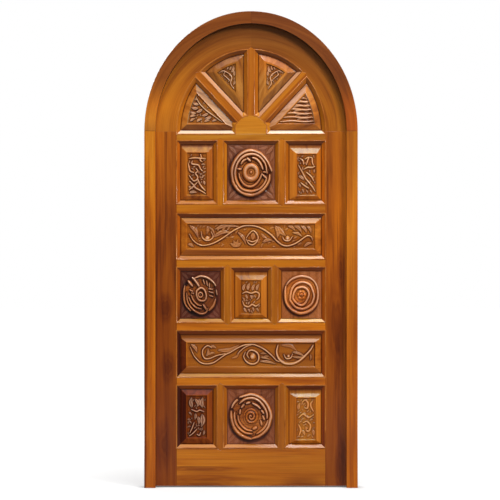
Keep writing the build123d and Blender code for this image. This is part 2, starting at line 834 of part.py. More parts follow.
def rosette(opening_width, opening_height, x, z):
    """Applied rosette, a faceted oval in the middle of its ground."""
    width = opening_width - 2 * board_inset - 2 * rosette_side_gap
    height = opening_height - 2 * board_inset - 2 * rosette_end_gap

    def oval(share):
        turns = [2 * pi * index / rosette_facets for index in range(rosette_facets)]
        return [(x + share * width / 2 * cos(turn), z + share * height / 2 * sin(turn)) for turn in turns]

    with BuildPart() as bloom:
        extrude(outline_face(oval(1), leaf_plane(ground_depth)), amount=rosette_edge)
        foot_depth = ground_depth - rosette_edge
        for ring in ring_shares:
            crest_depth = ground_depth - rosette_height * ring["crest_height"]
            frustum(oval(ring["foot"]), oval(ring["crest"]), foot_depth, crest_depth)
            foot_depth = ground_depth - rosette_height * ring["valley_height"]
            frustum(oval(ring["valley"]), oval(ring["crest"]), foot_depth, crest_depth, Mode.SUBTRACT)
        for index in range(whorl_leaves):
            turn = 2 * pi * index / whorl_leaves
            swing = turn + pi / whorl_leaves
            start = (x + width / 2 * boss_share * cos(turn), z + height / 2 * boss_share * sin(turn))
            end = (x + width / 2 * whorl_share * cos(swing), z + height / 2 * whorl_share * sin(swing))
            leaf(start, end, whorl_fullness_share, foot_depth)
        frustum(oval(boss_share), oval(boss_top_share), foot_depth, foot_depth - boss_height)
    return bloom


rosette_places = {
    "lower": (centre_width, 0, "lower"),
    "middle_left": (middle_row_side, -middle_side_x, "middle"),
    "middle_right": (middle_row_side, middle_side_x, "middle"),
    "upper": (centre_width, 0, "upper"),
}
for name, (width, x, row_name) in rosette_places.items():
    low, high = row_openings[row_name]
    opening = (width, high - low, x, (low + high) / 2)
    keep(ground_panel(*opening), f"{name}_ground_panel")
    keep(rosette(*opening), f"{name}_rosette")


# Butt hinges: two leaves let into the wood and a pin through three knuckles

knuckle_length = (hinge_length - 2 * knuckle_gap) / 3


def barrel(radius, foot, length, mode=Mode.ADD):
    """Many-sided bar on the hinge axis: inside a circle where it is added, around it where it is bored."""
    with BuildSketch(Plane.XY.offset(foot)) as ring:
        with Locations((axis_x, axis_y)):
            RegularPolygon(radius, barrel_sides, major_radius=mode == Mode.ADD)
    extrude(ring.sketch, amount=length, mode=mode)


def hinge_leaf(height, wood_side, knuckle_levels):
    """Plate with its knuckles, on the frame's side of the axis (-1) or on the leaf's side (1)."""
    inner_x = axis_x + wood_side * hinge_plate_gap / 2
    plate_span = (inner_x, inner_x + wood_side * hinge_plate)
    low = height - hinge_length / 2
    with BuildPart() as plate:
        block(plate_span, (frame_back - hinge_plate_width, frame_back), (low, low + hinge_length))
        for level in knuckle_levels:
            foot = low + level * (knuckle_length + knuckle_gap)
            block(plate_span, (frame_back, axis_y), (foot, foot + knuckle_length))
            barrel(knuckle_radius, foot, knuckle_length)
        barrel(pin_radius + pin_clearance, low, hinge_length, Mode.SUBTRACT)
    return plate


def hinge_pin(height):
    """Pin, flush with both ends of the knuckles."""
    with BuildPart() as pin:
        barrel(pin_radius, height - hinge_length / 2, hinge_length)
    return pin


for name, height in hinge_heights.items():
    keep(hinge_leaf(height, -1, (0, 2)), f"{name}_hinge_frame_leaf")
    keep(hinge_leaf(height, 1, (1,)), f"{name}_hinge_door_leaf")
    keep(hinge_pin(height), f"{name}_hinge_pin")
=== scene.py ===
"""Varnished teak looks for the arched carved door: wood, carving, mouldings, hinge screws, light and camera."""
import math

import bpy
import numpy as np
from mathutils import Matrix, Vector


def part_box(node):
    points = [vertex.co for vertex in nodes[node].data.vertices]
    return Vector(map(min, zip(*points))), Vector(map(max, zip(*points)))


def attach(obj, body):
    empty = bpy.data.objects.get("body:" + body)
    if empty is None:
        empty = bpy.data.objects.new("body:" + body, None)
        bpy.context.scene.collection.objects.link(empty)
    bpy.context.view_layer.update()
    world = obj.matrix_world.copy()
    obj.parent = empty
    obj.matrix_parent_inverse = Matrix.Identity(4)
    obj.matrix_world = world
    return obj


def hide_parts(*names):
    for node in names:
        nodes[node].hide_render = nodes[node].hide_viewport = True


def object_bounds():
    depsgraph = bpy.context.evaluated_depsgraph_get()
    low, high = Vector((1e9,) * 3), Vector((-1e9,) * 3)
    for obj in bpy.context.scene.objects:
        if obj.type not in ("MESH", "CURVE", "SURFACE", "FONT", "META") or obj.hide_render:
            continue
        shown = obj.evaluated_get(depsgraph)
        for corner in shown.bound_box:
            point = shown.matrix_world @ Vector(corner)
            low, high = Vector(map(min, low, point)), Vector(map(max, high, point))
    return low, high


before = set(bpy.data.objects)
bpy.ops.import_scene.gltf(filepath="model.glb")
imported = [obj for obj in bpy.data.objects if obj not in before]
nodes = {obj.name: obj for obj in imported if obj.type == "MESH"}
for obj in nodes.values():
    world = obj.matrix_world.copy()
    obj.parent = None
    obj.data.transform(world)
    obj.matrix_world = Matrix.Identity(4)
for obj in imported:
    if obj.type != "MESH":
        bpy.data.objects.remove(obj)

cad_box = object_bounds()
MM = 0.001

# Sizes of the leaf that the carving follows, in metres
TONGUE = 12 * MM
OPENING_GAP = 7 * MM
BEVEL = 28 * MM
RIM = 2.5 * MM
WIDE_RIM = 9 * MM
MOULDING = 17 * MM
MOULDING_DEPTH = 14 * MM
GROOVE_FRONT = 17 * MM
GROOVE_BACK = 27 * MM
PANEL_TOP = 4 * MM
FIELD_FLOOR = 9.5 * MM
BACK_BEVEL = 30 * MM
BACK_RISE = 6 * MM
GROUND = 15.5 * MM
STILE_FACE = 107 * MM
CROWN_FACE = 128 * MM
SPOKE_LAND = 33 * MM
SPOKE_ANGLE = 43
HUB_FLAT = 74 * MM
FAN_BASE_LAND = 5 * MM
PANEL_MARGIN = 2 * MM
ARRIS = 1.2 * MM
FRAME_ARRIS = 2 * MM
PLATE_ARRIS = 0.3 * MM
BEAD = 2.8 * MM
BEAD_BULGE = 0.75
BEAD_ROOT = 1.0 * MM

ROWS = ("lower", "middle", "upper")
leaf_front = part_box("lock_stile")[0].y
spring_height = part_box("left_jamb")[1].z


# Colours are written as they look on screen, from 0 to 255

def tone(red, green, blue):
    """Linear colour of a screen colour."""
    shares = [channel / 255 for channel in (red, green, blue)]
    linear = [s / 12.92 if s <= 0.04045 else ((s + 0.055) / 1.055) ** 2.4 for s in shares]
    return (*linear, 1.0)


def grey(level):
    """Linear grey."""
    return (level, level, level, 1.0)


full = grey(1.0)


# Shader nodes

def feed(tree, node, inputs):
    """Fill the inputs of a node: a socket is linked, any other value is set on the input itself."""
    for key, value in inputs.items():
        if hasattr(value, "is_linked"):
            tree.links.new(value, node.inputs[key])
        else:
            node.inputs[key].default_value = value


def add_node(tree, kind, inputs=None, **settings):
    """Shader node with its settings and inputs."""
    node = tree.nodes.new(f"ShaderNode{kind}")
    for key, value in settings.items():
        setattr(node, key, value)
    feed(tree, node, inputs or {})
    return node


def ramp(tree, source, *stops):
    """Colour ramp fed by a socket; stops are (position, colour) pairs."""
    node = add_node(tree, "ValToRGB", {"Fac": source})
    band = node.color_ramp
    while len(band.elements) < len(stops):
        band.elements.new(0.5)
    for element, (position, colour) in zip(band.elements, stops):
        element.position = position
        element.color = colour
    return node.outputs["Color"]


def mixed(tree, kind, amount, first, second):
    """Colour mix; amount, first and second are sockets or constants."""
    inputs = {0: amount, 6: first, 7: second}
    return add_node(tree, "Mix", inputs, data_type="RGBA", blend_type=kind).outputs[2]


def computed(tree, operation, *values):
    """Result of an operation on sockets and constants."""
    return add_node(tree, "Math", dict(enumerate(values)), operation=operation).outputs[0]


def length(tree, vector):
    """Length of a vector."""
    return add_node(tree, "VectorMath", {0: vector}, operation="LENGTH").outputs["Value"]


def split(tree, vector):
    """X, Y and Z of a vector, by their letters."""
    return add_node(tree, "SeparateXYZ", {"Vector": vector}).outputs


def share_between(tree, value, low, high):
    """How far a value has gone from low to high, from 0 to 1."""
    return add_node(tree, "MapRange", {"Value": value, "From Min": low, "From Max": high}).outputs["Result"]


def new_material(name):
    """Material with its node tree."""
    material = bpy.data.materials.new(name)
    material.use_nodes = True
    return material, material.node_tree


# Wood

# Layers of the grain: stretch along it, then scale, detail, roughness and bend of the noise
FIGURE = (0.05, 26.0, 5.0, 0.58, 0.7)
FIBRE = (0.012, 420.0, 3.0, 0.6, 0.0)
PATCH = (0.3, 2.8, 3.0, 0.55, 0.4)
LINE = (0.018, 70.0, 2.0, 0.5, 0.3)
PORE = (0.03, 900.0, 1.0, 0.5, 0.0)
FIBRE_TONES = ((0.30, (0.74, 0.68, 0.60, 1)), (0.62, full))
LINE_TONES = ((0.24, (0.50, 0.40, 0.34, 1)), (0.40, full))
PATCH_TONES = ((0.34, (0.66, 0.58, 0.52, 1)), (0.56, full))
KNOT_TONES = (
    (0.34, (0.42, 0.32, 0.30, 1)), (0.52, (0.62, 0.52, 0.48, 1)), (0.58, (0.52, 0.42, 0.38, 1)),
    (0.66, (0.78, 0.70, 0.66, 1)), (0.72, (0.68, 0.58, 0.54, 1)), (0.98, full),
)
KNOT_SPREAD = 0.6
KNOT_BEND = 0.8
# Pale tones: painted sheen on level upper faces, and painted highlight with some wear on carved crests
SHEEN_TONE = tone(250, 232, 206)
CREST_TONE = tone(242, 200, 166)
SEED_STEP = (0.37, 0.61, 0.83)
ARCH_REACH = 0.45
# The part of a face's normal along an axis, from where a tint, mostly of painted light and shade, begins to where it
# is full
LOOKS_DOWN = (-0.16, -0.50)
LOOKS_UP = (0.16, 0.40)
LIES_LEVEL = (0.30, 0.60)
LOOKS_ASIDE = (0.2, 0.4)
LOOKS_AHEAD = (0.1, -0.1)


def arched_place(tree, source):
    """Coordinates that follow the arch: reach from the springing centre, depth, and length along the curve."""
    along = split(tree, source)
    rise = computed(tree, "SUBTRACT", along["Z"], spring_height)
    flat = add_node(tree, "CombineXYZ", {"X": along["X"], "Z": rise}).outputs[0]
    sweep = computed(tree, "MULTIPLY", computed(tree, "ARCTAN2", along["X"], rise), ARCH_REACH)
    return add_node(tree, "CombineXYZ", {"X": length(tree, flat), "Y": along["Y"], "Z": sweep}).outputs[0]


def wood(name, light, middle, dark, angle=0, seed=0, arched=False, carved=None, worn=0.6, fall=None, streak=0.75,
         knots=(), under=None, over=None, ledge=0.0, flank=None, front=None, coat=0.5):
    """Varnished teak with its grain along a line in the plane of the door, turned from upright by angle.

    carved is the factor of the painted shade in the deepest hollows and worn the paleness painted on the crests as
    highlight and wear; fall is a low z, a high z and factors of painted shade and light evenly spread between them;
    a knot, or a stripe of painted shade, is its x, z, half width and half height; under is the factor of painted
    shade on faces that look down, over the factor of painted highlight and shade on faces that look up and ledge
    their painted sheen; flank is a side, -1 or 1, and a fall of painted light and shade for the faces that look to
    that side; front is the factor on faces that look to the front; coat is the weight of the varnish.
    """
    material, tree = new_material(name)
    texture = add_node(tree, "TexCoord").outputs
    place = texture["Object"]
    turned = add_node(tree, "Mapping", {
        "Vector": arched_place(tree, place) if arched else place,
        "Rotation": (0, math.radians(-angle), 0),
        "Location": [step * seed for step in SEED_STEP],
    }).outputs["Vector"]

    def grain(stretch, scale, detail, rough, bend):
        squeezed = add_node(tree, "Mapping", {"Vector": turned, "Scale": (1, 1, stretch)}).outputs["Vector"]
        inputs = {"Vector": squeezed, "Scale": scale, "Detail": detail, "Roughness": rough, "Distortion": bend}
        return add_node(tree, "TexNoise", inputs).outputs["Fac"]

    figure, fibre, patch, line, pore = (grain(*layer) for layer in (FIGURE, FIBRE, PATCH, LINE, PORE))
    colour = ramp(tree, figure, (0.30, dark), (0.46, middle), (0.68, light))

    def tint(factor, amount=1.0):
        nonlocal colour
        colour = mixed(tree, "MULTIPLY", amount, colour, factor)

    def by_height(low, high, *factors):
        rise = share_between(tree, split(tree, place)["Z"], low, high)
        return ramp(tree, rise, *((k / (len(factors) - 1), factor) for k, factor in enumerate(factors)))

    def looking(axis, low, high):
        return share_between(tree, split(tree, texture["Normal"])[axis], low, high)

    tint(ramp(tree, fibre, *FIBRE_TONES), 0.7)
    tint(ramp(tree, line, *LINE_TONES), streak)
    tint(ramp(tree, patch, *PATCH_TONES), streak)
    # Painted shade and light up the height of the piece
    if fall:
        tint(by_height(*fall))
    # Knots, and stripes of painted shade along edges
    for x, z, wide, tall in knots:
        spot = {"Vector": place, "Location": (-x / wide, 0, -z / tall), "Scale": (1 / wide, 0, 1 / tall)}
        off = length(tree, add_node(tree, "Mapping", spot).outputs["Vector"])
        bent = computed(tree, "MULTIPLY", figure, KNOT_BEND)
        tint(ramp(tree, computed(tree, "MULTIPLY_ADD", off, KNOT_SPREAD, bent), *KNOT_TONES))
    # Painted shade on faces that look down, painted highlight and shade on faces that look up, painted light and shade
    # on faces that look aside, and a factor on faces that look ahead
    if under:
        tint(under, looking("Z", *LOOKS_DOWN))
    if over:
        tint(over, looking("Z", *LOOKS_UP))
    # Painted sheen on level upper faces
    if ledge:
        pale = computed(tree, "MULTIPLY", looking("Z", *LIES_LEVEL), ledge)
        colour = mixed(tree, "MIX", pale, colour, SHEEN_TONE)
    if flank:
        side, *side_fall = flank
        tint(by_height(*side_fall), looking("X", *(side * part for part in LOOKS_ASIDE)))
    if front:
        tint(front, looking("Y", *LOOKS_AHEAD))
    # Painted shade in the hollows, and painted highlight with some wear on the crests
    if carved:
        tint(carved, add_node(tree, "Attribute", attribute_name="cavity").outputs["Fac"])
        crest = add_node(tree, "Attribute", attribute_name="crest").outputs["Fac"]
        colour = mixed(tree, "MIX", computed(tree, "MULTIPLY", crest, worn), colour, CREST_TONE)
    grit = {"Height": mixed(tree, "MIX", 0.4, fibre, pore), "Strength": 0.22, "Distance": 0.6 * MM}
    feed(tree, tree.nodes["Principled BSDF"], {
        "Base Color": colour,
        "Roughness": ramp(tree, patch, (0.3, grey(0.46)), (0.7, grey(0.30))),
        "Normal": add_node(tree, "Bump", grit).outputs["Normal"],
        "Specular IOR Level": 0.15,
        "Coat Weight": coat,
        "Coat Roughness": 0.13,
    })
    return material


def brass(name):
    """Satin brass with a dull film."""
    material, tree = new_material(name)
    place = add_node(tree, "TexCoord").outputs["Object"]
    film = add_node(tree, "TexNoise", {"Vector": place, "Scale": 60.0, "Detail": 4.0}).outputs["Fac"]
    feed(tree, tree.nodes["Principled BSDF"], {
        "Base Color": ramp(tree, film, (0.35, tone(150, 108, 50)), (0.65, tone(206, 164, 92))),
        "Roughness": ramp(tree, film, (0.3, grey(0.48)), (0.7, grey(0.28))),
        "Metallic": 1.0,
    })
    return material


# Structural members keep their solids, with softened arrises

def soften(node, width):
    """Weld, clean and round the edges of a CAD node without touching its mesh."""
    weld = node.modifiers.new("weld", "WELD")
    weld.merge_threshold = 0.01 * MM
    flat = node.modifiers.new("flat", "DECIMATE")
    flat.decimate_type = "DISSOLVE"
    flat.angle_limit = math.radians(0.4)
    bevel = node.modifiers.new("arris", "BEVEL")
    bevel.width = width
    bevel.segments = 2
    bevel.limit_method = "ANGLE"
    bevel.angle_limit = math.radians(25)
    bevel.harden_normals = True


def dress(name, material, arris=ARRIS):
    """Give a CAD node a material and soft arrises."""
    node = nodes[name]
    node.data.materials.clear()
    node.data.materials.append(material)
    if arris:
        soften(node, arris)


def dress_teak(name, tones, arris=ARRIS, **looks):
    """Give a CAD node a teak of its own and soft arrises."""
    dress(name, wood(f"{name}_teak", *tones, **looks), arris)


def even_flank(side, factor):
    """Flank of painted light and shade with one factor at every height."""
    return (side, 0.0, 1.0, factor, factor)


def shaded(tones, factor):
    """Tones made lighter or darker."""
    return [(*(min(channel * factor, 1) for channel in colour[:3]), 1.0) for colour in tones]


amber = (tone(206, 126, 24), tone(188, 104, 12), tone(152, 74, 6))
honey = (tone(212, 142, 40), tone(198, 122, 24), tone(164, 88, 12))
umber = (tone(178, 98, 16), tone(158, 80, 8), tone(112, 50, 4))
crown = (tone(200, 120, 26), tone(180, 100, 14), tone(144, 72, 8))
brown = (tone(140, 76, 24), tone(120, 60, 14), tone(94, 42, 7))

# Knots, stripes of painted shade along edges, and falls of painted shade and light up the height, for the left piece
# and then the right one
jamb_edge_shade = (((-0.503, 0.62, 0.022, 1.2), (-0.502, 0.60, 0.016, 1.1), (-0.502, 0.50, 0.014, 1.0)), ())
jamb_foot = ((1.0, 0.86, 0.7, 1), (1.0, 0.90, 0.8, 1), (1.0, 0.95, 0.9, 1))
jamb_falls = (
    (*jamb_foot, full, (0.92, 1.02, 1.5, 1)),
    (*jamb_foot, (1.08, 1.05, 0.9, 1), (0.82, 0.92, 1.0, 1)),
)
head_falls = (
    ((1.85, 2.3, 1.9, 1), (2.4, 2.9, 1.6, 1), (2.2, 2.4, 1.3, 1), (1.5, 1.6, 1.1, 1), full),
    ((2.2, 1.9, 0.9, 1), (2.2, 1.9, 0.8, 1), (1.9, 1.7, 0.8, 1), (1.4, 1.4, 0.9, 1), full),
)
stile_knots_and_edge_shade = (
    ((-0.400, 0.845, 0.045, 0.085), (-0.385, 0.565, 0.050, 0.100), (-0.410, 0.200, 0.050, 0.160),
     (-0.451, 0.80, 0.014, 1.6)),
    ((0.415, 0.090, 0.035, 0.150), (0.420, 1.020, 0.030, 0.120), (0.400, 0.780, 0.060, 0.300)),
)
stile_falls = (
    ((0.74, 0.60, 0.6, 1), (0.81, 0.72, 0.7, 1), (0.88, 0.83, 0.8, 1), (0.97, 0.95, 0.9, 1), (1.30, 1.40, 1.2, 1)),
    ((0.90, 0.80, 0.8, 1), (1.0, 0.95, 0.8, 1), (1.16, 1.12, 0.9, 1), (1.52, 1.6, 0.9, 1), (1.18, 1.28, 1.0, 1)),
)
# Painted light and shade on the stiles' faces that look into the openings, darker low and lighter high
stile_flanks = (
    (1, 0.72, 0.90, (0.26, 0.14, 0.2, 1), (1.6, 1.6, 0.9, 1)),
    (-1, 0.60, 1.20, (1.1, 0.9, 0.8, 1), (1.6, 1.6, 0.8, 1)),
)
# Falls of painted shade and light up the arch rails, darkest at the crown under the frame head and over the right rail
arch_crown = (0.50, 0.49, 0.85, 1)
arch_falls = (
    ((1.10, 1.18, 1.2, 1), (1.35, 1.45, 1.1, 1), (1.05, 1.10, 1.0, 1), (0.75, 0.75, 0.9, 1), arch_crown),
    ((0.86, 0.90, 0.9, 1), (0.82, 0.85, 0.85, 1), (0.70, 0.70, 0.85, 1), (0.60, 0.60, 0.85, 1), arch_crown),
)
# The frame heads get painted shade on the faces that look down
for index, side in enumerate(("left", "right")):
    dress_teak(f"{side}_jamb", shaded(amber, 1.22), FRAME_ARRIS, seed=index, knots=jamb_edge_shade[index],
               fall=(0.2, spring_height, *jamb_falls[index]))
    dress_teak(f"arch_head_{side}", brown, FRAME_ARRIS, seed=index + 3, arched=True, streak=0.5,
               under=(0.14, 0.09, 0.09, 1), fall=(spring_height, spring_height + 0.25, *head_falls[index]))
    dress_teak(f"arch_rail_{side}", crown, seed=7, arched=True, streak=0.6,
               fall=(spring_height, 2.14, *arch_falls[index]))
for index, name in enumerate(("hinge_stile", "lock_stile")):
    dress_teak(name, umber, seed=index + 5, streak=1.0, fall=(0.3, spring_height, *stile_falls[index]),
               knots=stile_knots_and_edge_shade[index], flank=stile_flanks[index])

# Tones and shade of each rail, and what else sets it apart: painted highlight and shade on faces that look up, painted
# sheen on the fan rail's upper faces
bottom_knots = ((-0.20, 0.0, 0.26, 0.10), (0.24, -0.03, 0.16, 0.10), (-0.24, 0.085, 0.22, 0.020))
rails = {
    "bottom_rail": (amber, 1.15, {"over": (1.0, 1.2, 1.7, 1), "knots": bottom_knots, "streak": 1.0}),
    "low_cross_rail": (amber, 1.35, {"over": (0.68, 0.91, 1.3, 1)}),
    "mid_cross_rail": (amber, 1.3, {"over": (0.80, 1.12, 1.6, 1)}),
    "high_cross_rail": (amber, 1.0, {"over": (1.03, 1.28, 1.25, 1)}),
    "frieze_rail": (amber, 0.97, {"over": (0.86, 0.92, 0.65, 1)}),
    "fan_rail": (honey, 0.85, {"ledge": 0.6}),
}
# Every rail gets painted shade on the faces that look down
for index, (name, (tones, shade, looks)) in enumerate(rails.items()):
    dress_teak(name, shaded(tones, shade), angle=90, seed=index + 9, under=(0.50, 0.34, 0.42, 1), **looks)
muntins = [f"{row}_muntin_{side}" for row in ROWS for side in ("left", "right")]
for index, name in enumerate(muntins):
    dress_teak(name, amber, seed=index + 16)
dress_teak("fan_hub", honey, angle=90, seed=23, streak=0.3)
# The spokes get painted sheen on their upper faces
spokes = (("left_spoke", -SPOKE_ANGLE), ("middle_spoke", 0), ("right_spoke", SPOKE_ANGLE))
for index, (name, angle) in enumerate(spokes):
    dress_teak(name, amber, angle=angle, seed=index + 24, ledge=0.45)
tenon_teak = wood("tenon_teak", *amber, seed=28)
for name in ("crown_tenon", "left_spring_tenon", "right_spring_tenon"):
    dress(name, tenon_teak, arris=None)
hinge_brass = brass("hinge_brass")
for row in ROWS:
    for piece in ("frame_leaf", "door_leaf", "pin"):
        dress(f"{row}_hinge_{piece}", hinge_brass, PLATE_ARRIS)


# Carving: ridges and leaves raised on a field. Places are in hundredths of the field's width and height, from
# its lower left corner; widths and heights are in millimetres

HOLLOW_DEPTH = 1.8
FLOOR_RELIEF = 0.5
MARK_TURN = 6.28
# Shares of half a leaf's width or of its height; the crest ones lay the painted highlight along a ridge
CREASE_WIDTH = 0.22
CREASE_DEPTH = 0.45
CUT_DEPTH = 0.22
CREST_WIDTH = 0.26
CREST_SHIFT = 0.45
LEAF_STAIN = 0.3
PALE_HEIGHT = 5
# A place is bare when nothing within this reach is this high
BARE_REACH = 3.0
BARE_HEIGHT = 0.8


def smooth_path(points, count=48):
    """Evenly many points on a smooth curve through the given ones."""
    ends = 2 * np.array(points[0]) - points[1], 2 * np.array(points[-1]) - points[-2]
    knots = np.array([ends[0], *points, ends[1]], float)
    spans = len(points) - 1
    places = np.linspace(0, spans, count)
    index = np.minimum(places.astype(int), spans - 1)
    t = (places - index)[:, None]
    a, b, c, d = (knots[index + k] for k in range(4))
    return 0.5 * (2 * b + (c - a) * t + (2 * a - 5 * b + 4 * c - d) * t**2 + (3 * b - a - 3 * c + d) * t**3)


def nearest(x, z, path):
    """Distance of each point from a path, and how far along it the nearest place is, from 0 to 1."""
    best = np.full(x.shape, 1e9)
    along = np.zeros(x.shape)
    last = len(path) - 1
    for k in range(last):
        start, run = path[k], path[k + 1] - path[k]
        t = np.clip(((x - start[0]) * run[0] + (z - start[1]) * run[1]) / (run @ run + 1e-12), 0, 1)
        distance = np.hypot(x - start[0] - t * run[0], z - start[1] - t * run[1])
        closer = distance < best
        best = np.where(closer, distance, best)
        along = np.where(closer, (k + t) / last, along)
    return best, along


class Carving:
    """Height of a carved field above its floor at a grid of points, with painted highlight, stain and painted shadow.
    """

    def __init__(self, x, z, width, height):
        self.x, self.z = x, z
        self.percent = np.array((width, height)) / 100
        self.relief = np.zeros(x.shape)
        self.crest = np.zeros(x.shape)
        self.stain_and_shadow = np.zeros(x.shape)
        self.leaf_pale = 0.55

    def raise_path(self, points, half_width, height, crease=0.0, cuts=0):
        """Rounded ridge along points; half_width is a function of the place along it."""
        path = smooth_path([np.array(p) * self.percent for p in points])
        reach = float(np.max(half_width(np.linspace(0, 1, 40))))
        low, high = path.min(0) - reach, path.max(0) + reach
        near = (self.x > low[0]) & (self.x < high[0]) & (self.z > low[1]) & (self.z < high[1])
        if not near.any():
            return
        distance, along = nearest(self.x[near], self.z[near], path)
        share = np.clip(distance / np.maximum(half_width(along), 1e-6), 0, 1)
        lift = height * np.sqrt(1 - share**2) ** 0.8
        lift *= 1 - crease * np.exp(-((share / CREASE_WIDTH) ** 2))
        if cuts:
            wave = 0.5 + 0.5 * np.cos(2 * math.pi * (cuts * along + 0.8 * share))
            lift *= 1 - CUT_DEPTH * wave * (share > 0.2)
        # Painted highlight along the crest, fainter on leaves, and a darker stain on the leaves
        paleness = min(height / PALE_HEIGHT, 1) * (self.leaf_pale if crease else 1.0)
        ridge = np.exp(-(((share - (CREST_SHIFT if crease else 0.0)) / CREST_WIDTH) ** 2)) * paleness
        above = lift > self.relief[near]
        self.crest[near] = np.where(above, ridge, self.crest[near])
        self.stain_and_shadow[near] = np.where(above, LEAF_STAIN if crease else 0.0, self.stain_and_shadow[near])
        self.relief[near] = np.maximum(self.relief[near], lift)

    def stem(self, points, width, height=5.0):
        """Stem that thins towards both ends."""
        self.raise_path(points, lambda s: width / 2 * (0.45 + 0.55 * np.sin(math.pi * s) ** 0.5), height)

    def leaf(self, start, end, fullness=0.16, bend=0.12, height=4.6, cuts=5):
        """Pointed leaf with a sunk midrib and cut sides; bend bows it to the left of its run."""
        start, end = np.array(start), np.array(end)
        run = (end - start) * self.percent
        middle = (start + end) / 2 + bend * np.array((-run[1], run[0])) / self.percent
        span = float(np.hypot(*run))
        self.raise_path([start, middle, end], lambda s: fullness * span * np.sin(math.pi * s**0.8) ** 0.9 + 0.3,
                        height, CREASE_DEPTH, cuts)

    def scatter(self, seed, count, span, angle, spread, height=4.0):
        """Small leaves set where the floor is still bare, lying near an angle in degrees."""
        rng = np.random.default_rng(seed)
        for u, v, lean, grow in rng.uniform((4, 4, -spread, 0.7), (96, 96, spread, 1.2), (count, 4)):
            turn = math.radians(angle + lean)
            run = np.array((math.cos(turn), math.sin(turn))) * span * grow / self.percent
            spots = [np.array((u, v)) + k * run for k in (-0.5, 0, 0.5)]
            if all(self.bare(spot) for spot in spots):
                self.leaf(spots[0], spots[2], 0.2, 0.12, height, 3)

    def distance(self, spot):
        """Distance of each point of the grid from a place."""
        x, z = spot * self.percent
        return np.hypot(self.x - x, self.z - z)

    def bare(self, spot):
        """Whether the floor next to a place is still uncarved."""
        distance = self.distance(spot)
        close = distance < BARE_REACH
        return bool(close.any()) and float(self.relief[close].max()) < BARE_HEIGHT

    def knob(self, centre, radius, height=5.0):
        """Round bead with a painted highlight on its top."""
        distance = self.distance(centre)
        lift = height * np.sqrt(np.clip(1 - (distance / radius) ** 2, 0, 1))
        self.crest = np.where(lift > self.relief, np.clip(1 - 1.4 * distance / radius, 0, 1), self.crest)
        self.relief = np.maximum(self.relief, lift)


def blurred(grid, passes):
    """Grid softened by its neighbours."""
    for _ in range(passes):
        wide = np.pad(grid, 1, mode="edge")
        grid = (wide[:-2, 1:-1] + wide[2:, 1:-1] + wide[1:-1, :-2] + wide[1:-1, 2:] + 2 * grid) / 6
    return grid


def hollows(relief):
    """Painted shade: how far each place lies below its surroundings, from 0 to 1 at a dip of HOLLOW_DEPTH; bare floor
    counts more.
    """
    return np.clip((blurred(relief, 14) - relief) / HOLLOW_DEPTH + 0.4 * (relief < FLOOR_RELIEF), 0, 1)


def tool_marks(x, z, seed, depth=0.22):
    """Shallow gouge marks left on a carved floor."""
    rng = np.random.default_rng(seed)
    marks = np.zeros(x.shape)
    for angle, pitch, phase in rng.uniform((0, 5, 0), (math.pi, 11, MARK_TURN), (7, 3)):
        marks += np.sin((x * math.cos(angle) + z * math.sin(angle)) * MARK_TURN / pitch + phase)
    return depth * marks / 3


def build_mesh(name, vertices, faces, material, body="leaf", cavity=None, crest=None, crease=38):
    """Mesh object with smooth faces and sharp creases, and its cavity and crest values at each vertex."""
    mesh = bpy.data.meshes.new(name)
    mesh.from_pydata([tuple(v) for v in vertices], [], faces)
    for key, values in (("cavity", cavity), ("crest", crest)):
        if values is not None:
            attribute = mesh.attributes.new(key, "FLOAT", "POINT")
            attribute.data.foreach_set("value", np.asarray(values, np.float32))
    mesh.shade_smooth()
    mesh.set_sharp_from_angle(angle=math.radians(crease))
    mesh.materials.append(material)
    piece = bpy.data.objects.new(name, mesh)
    bpy.context.scene.collection.objects.link(piece)
    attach(piece, body)
    return piece


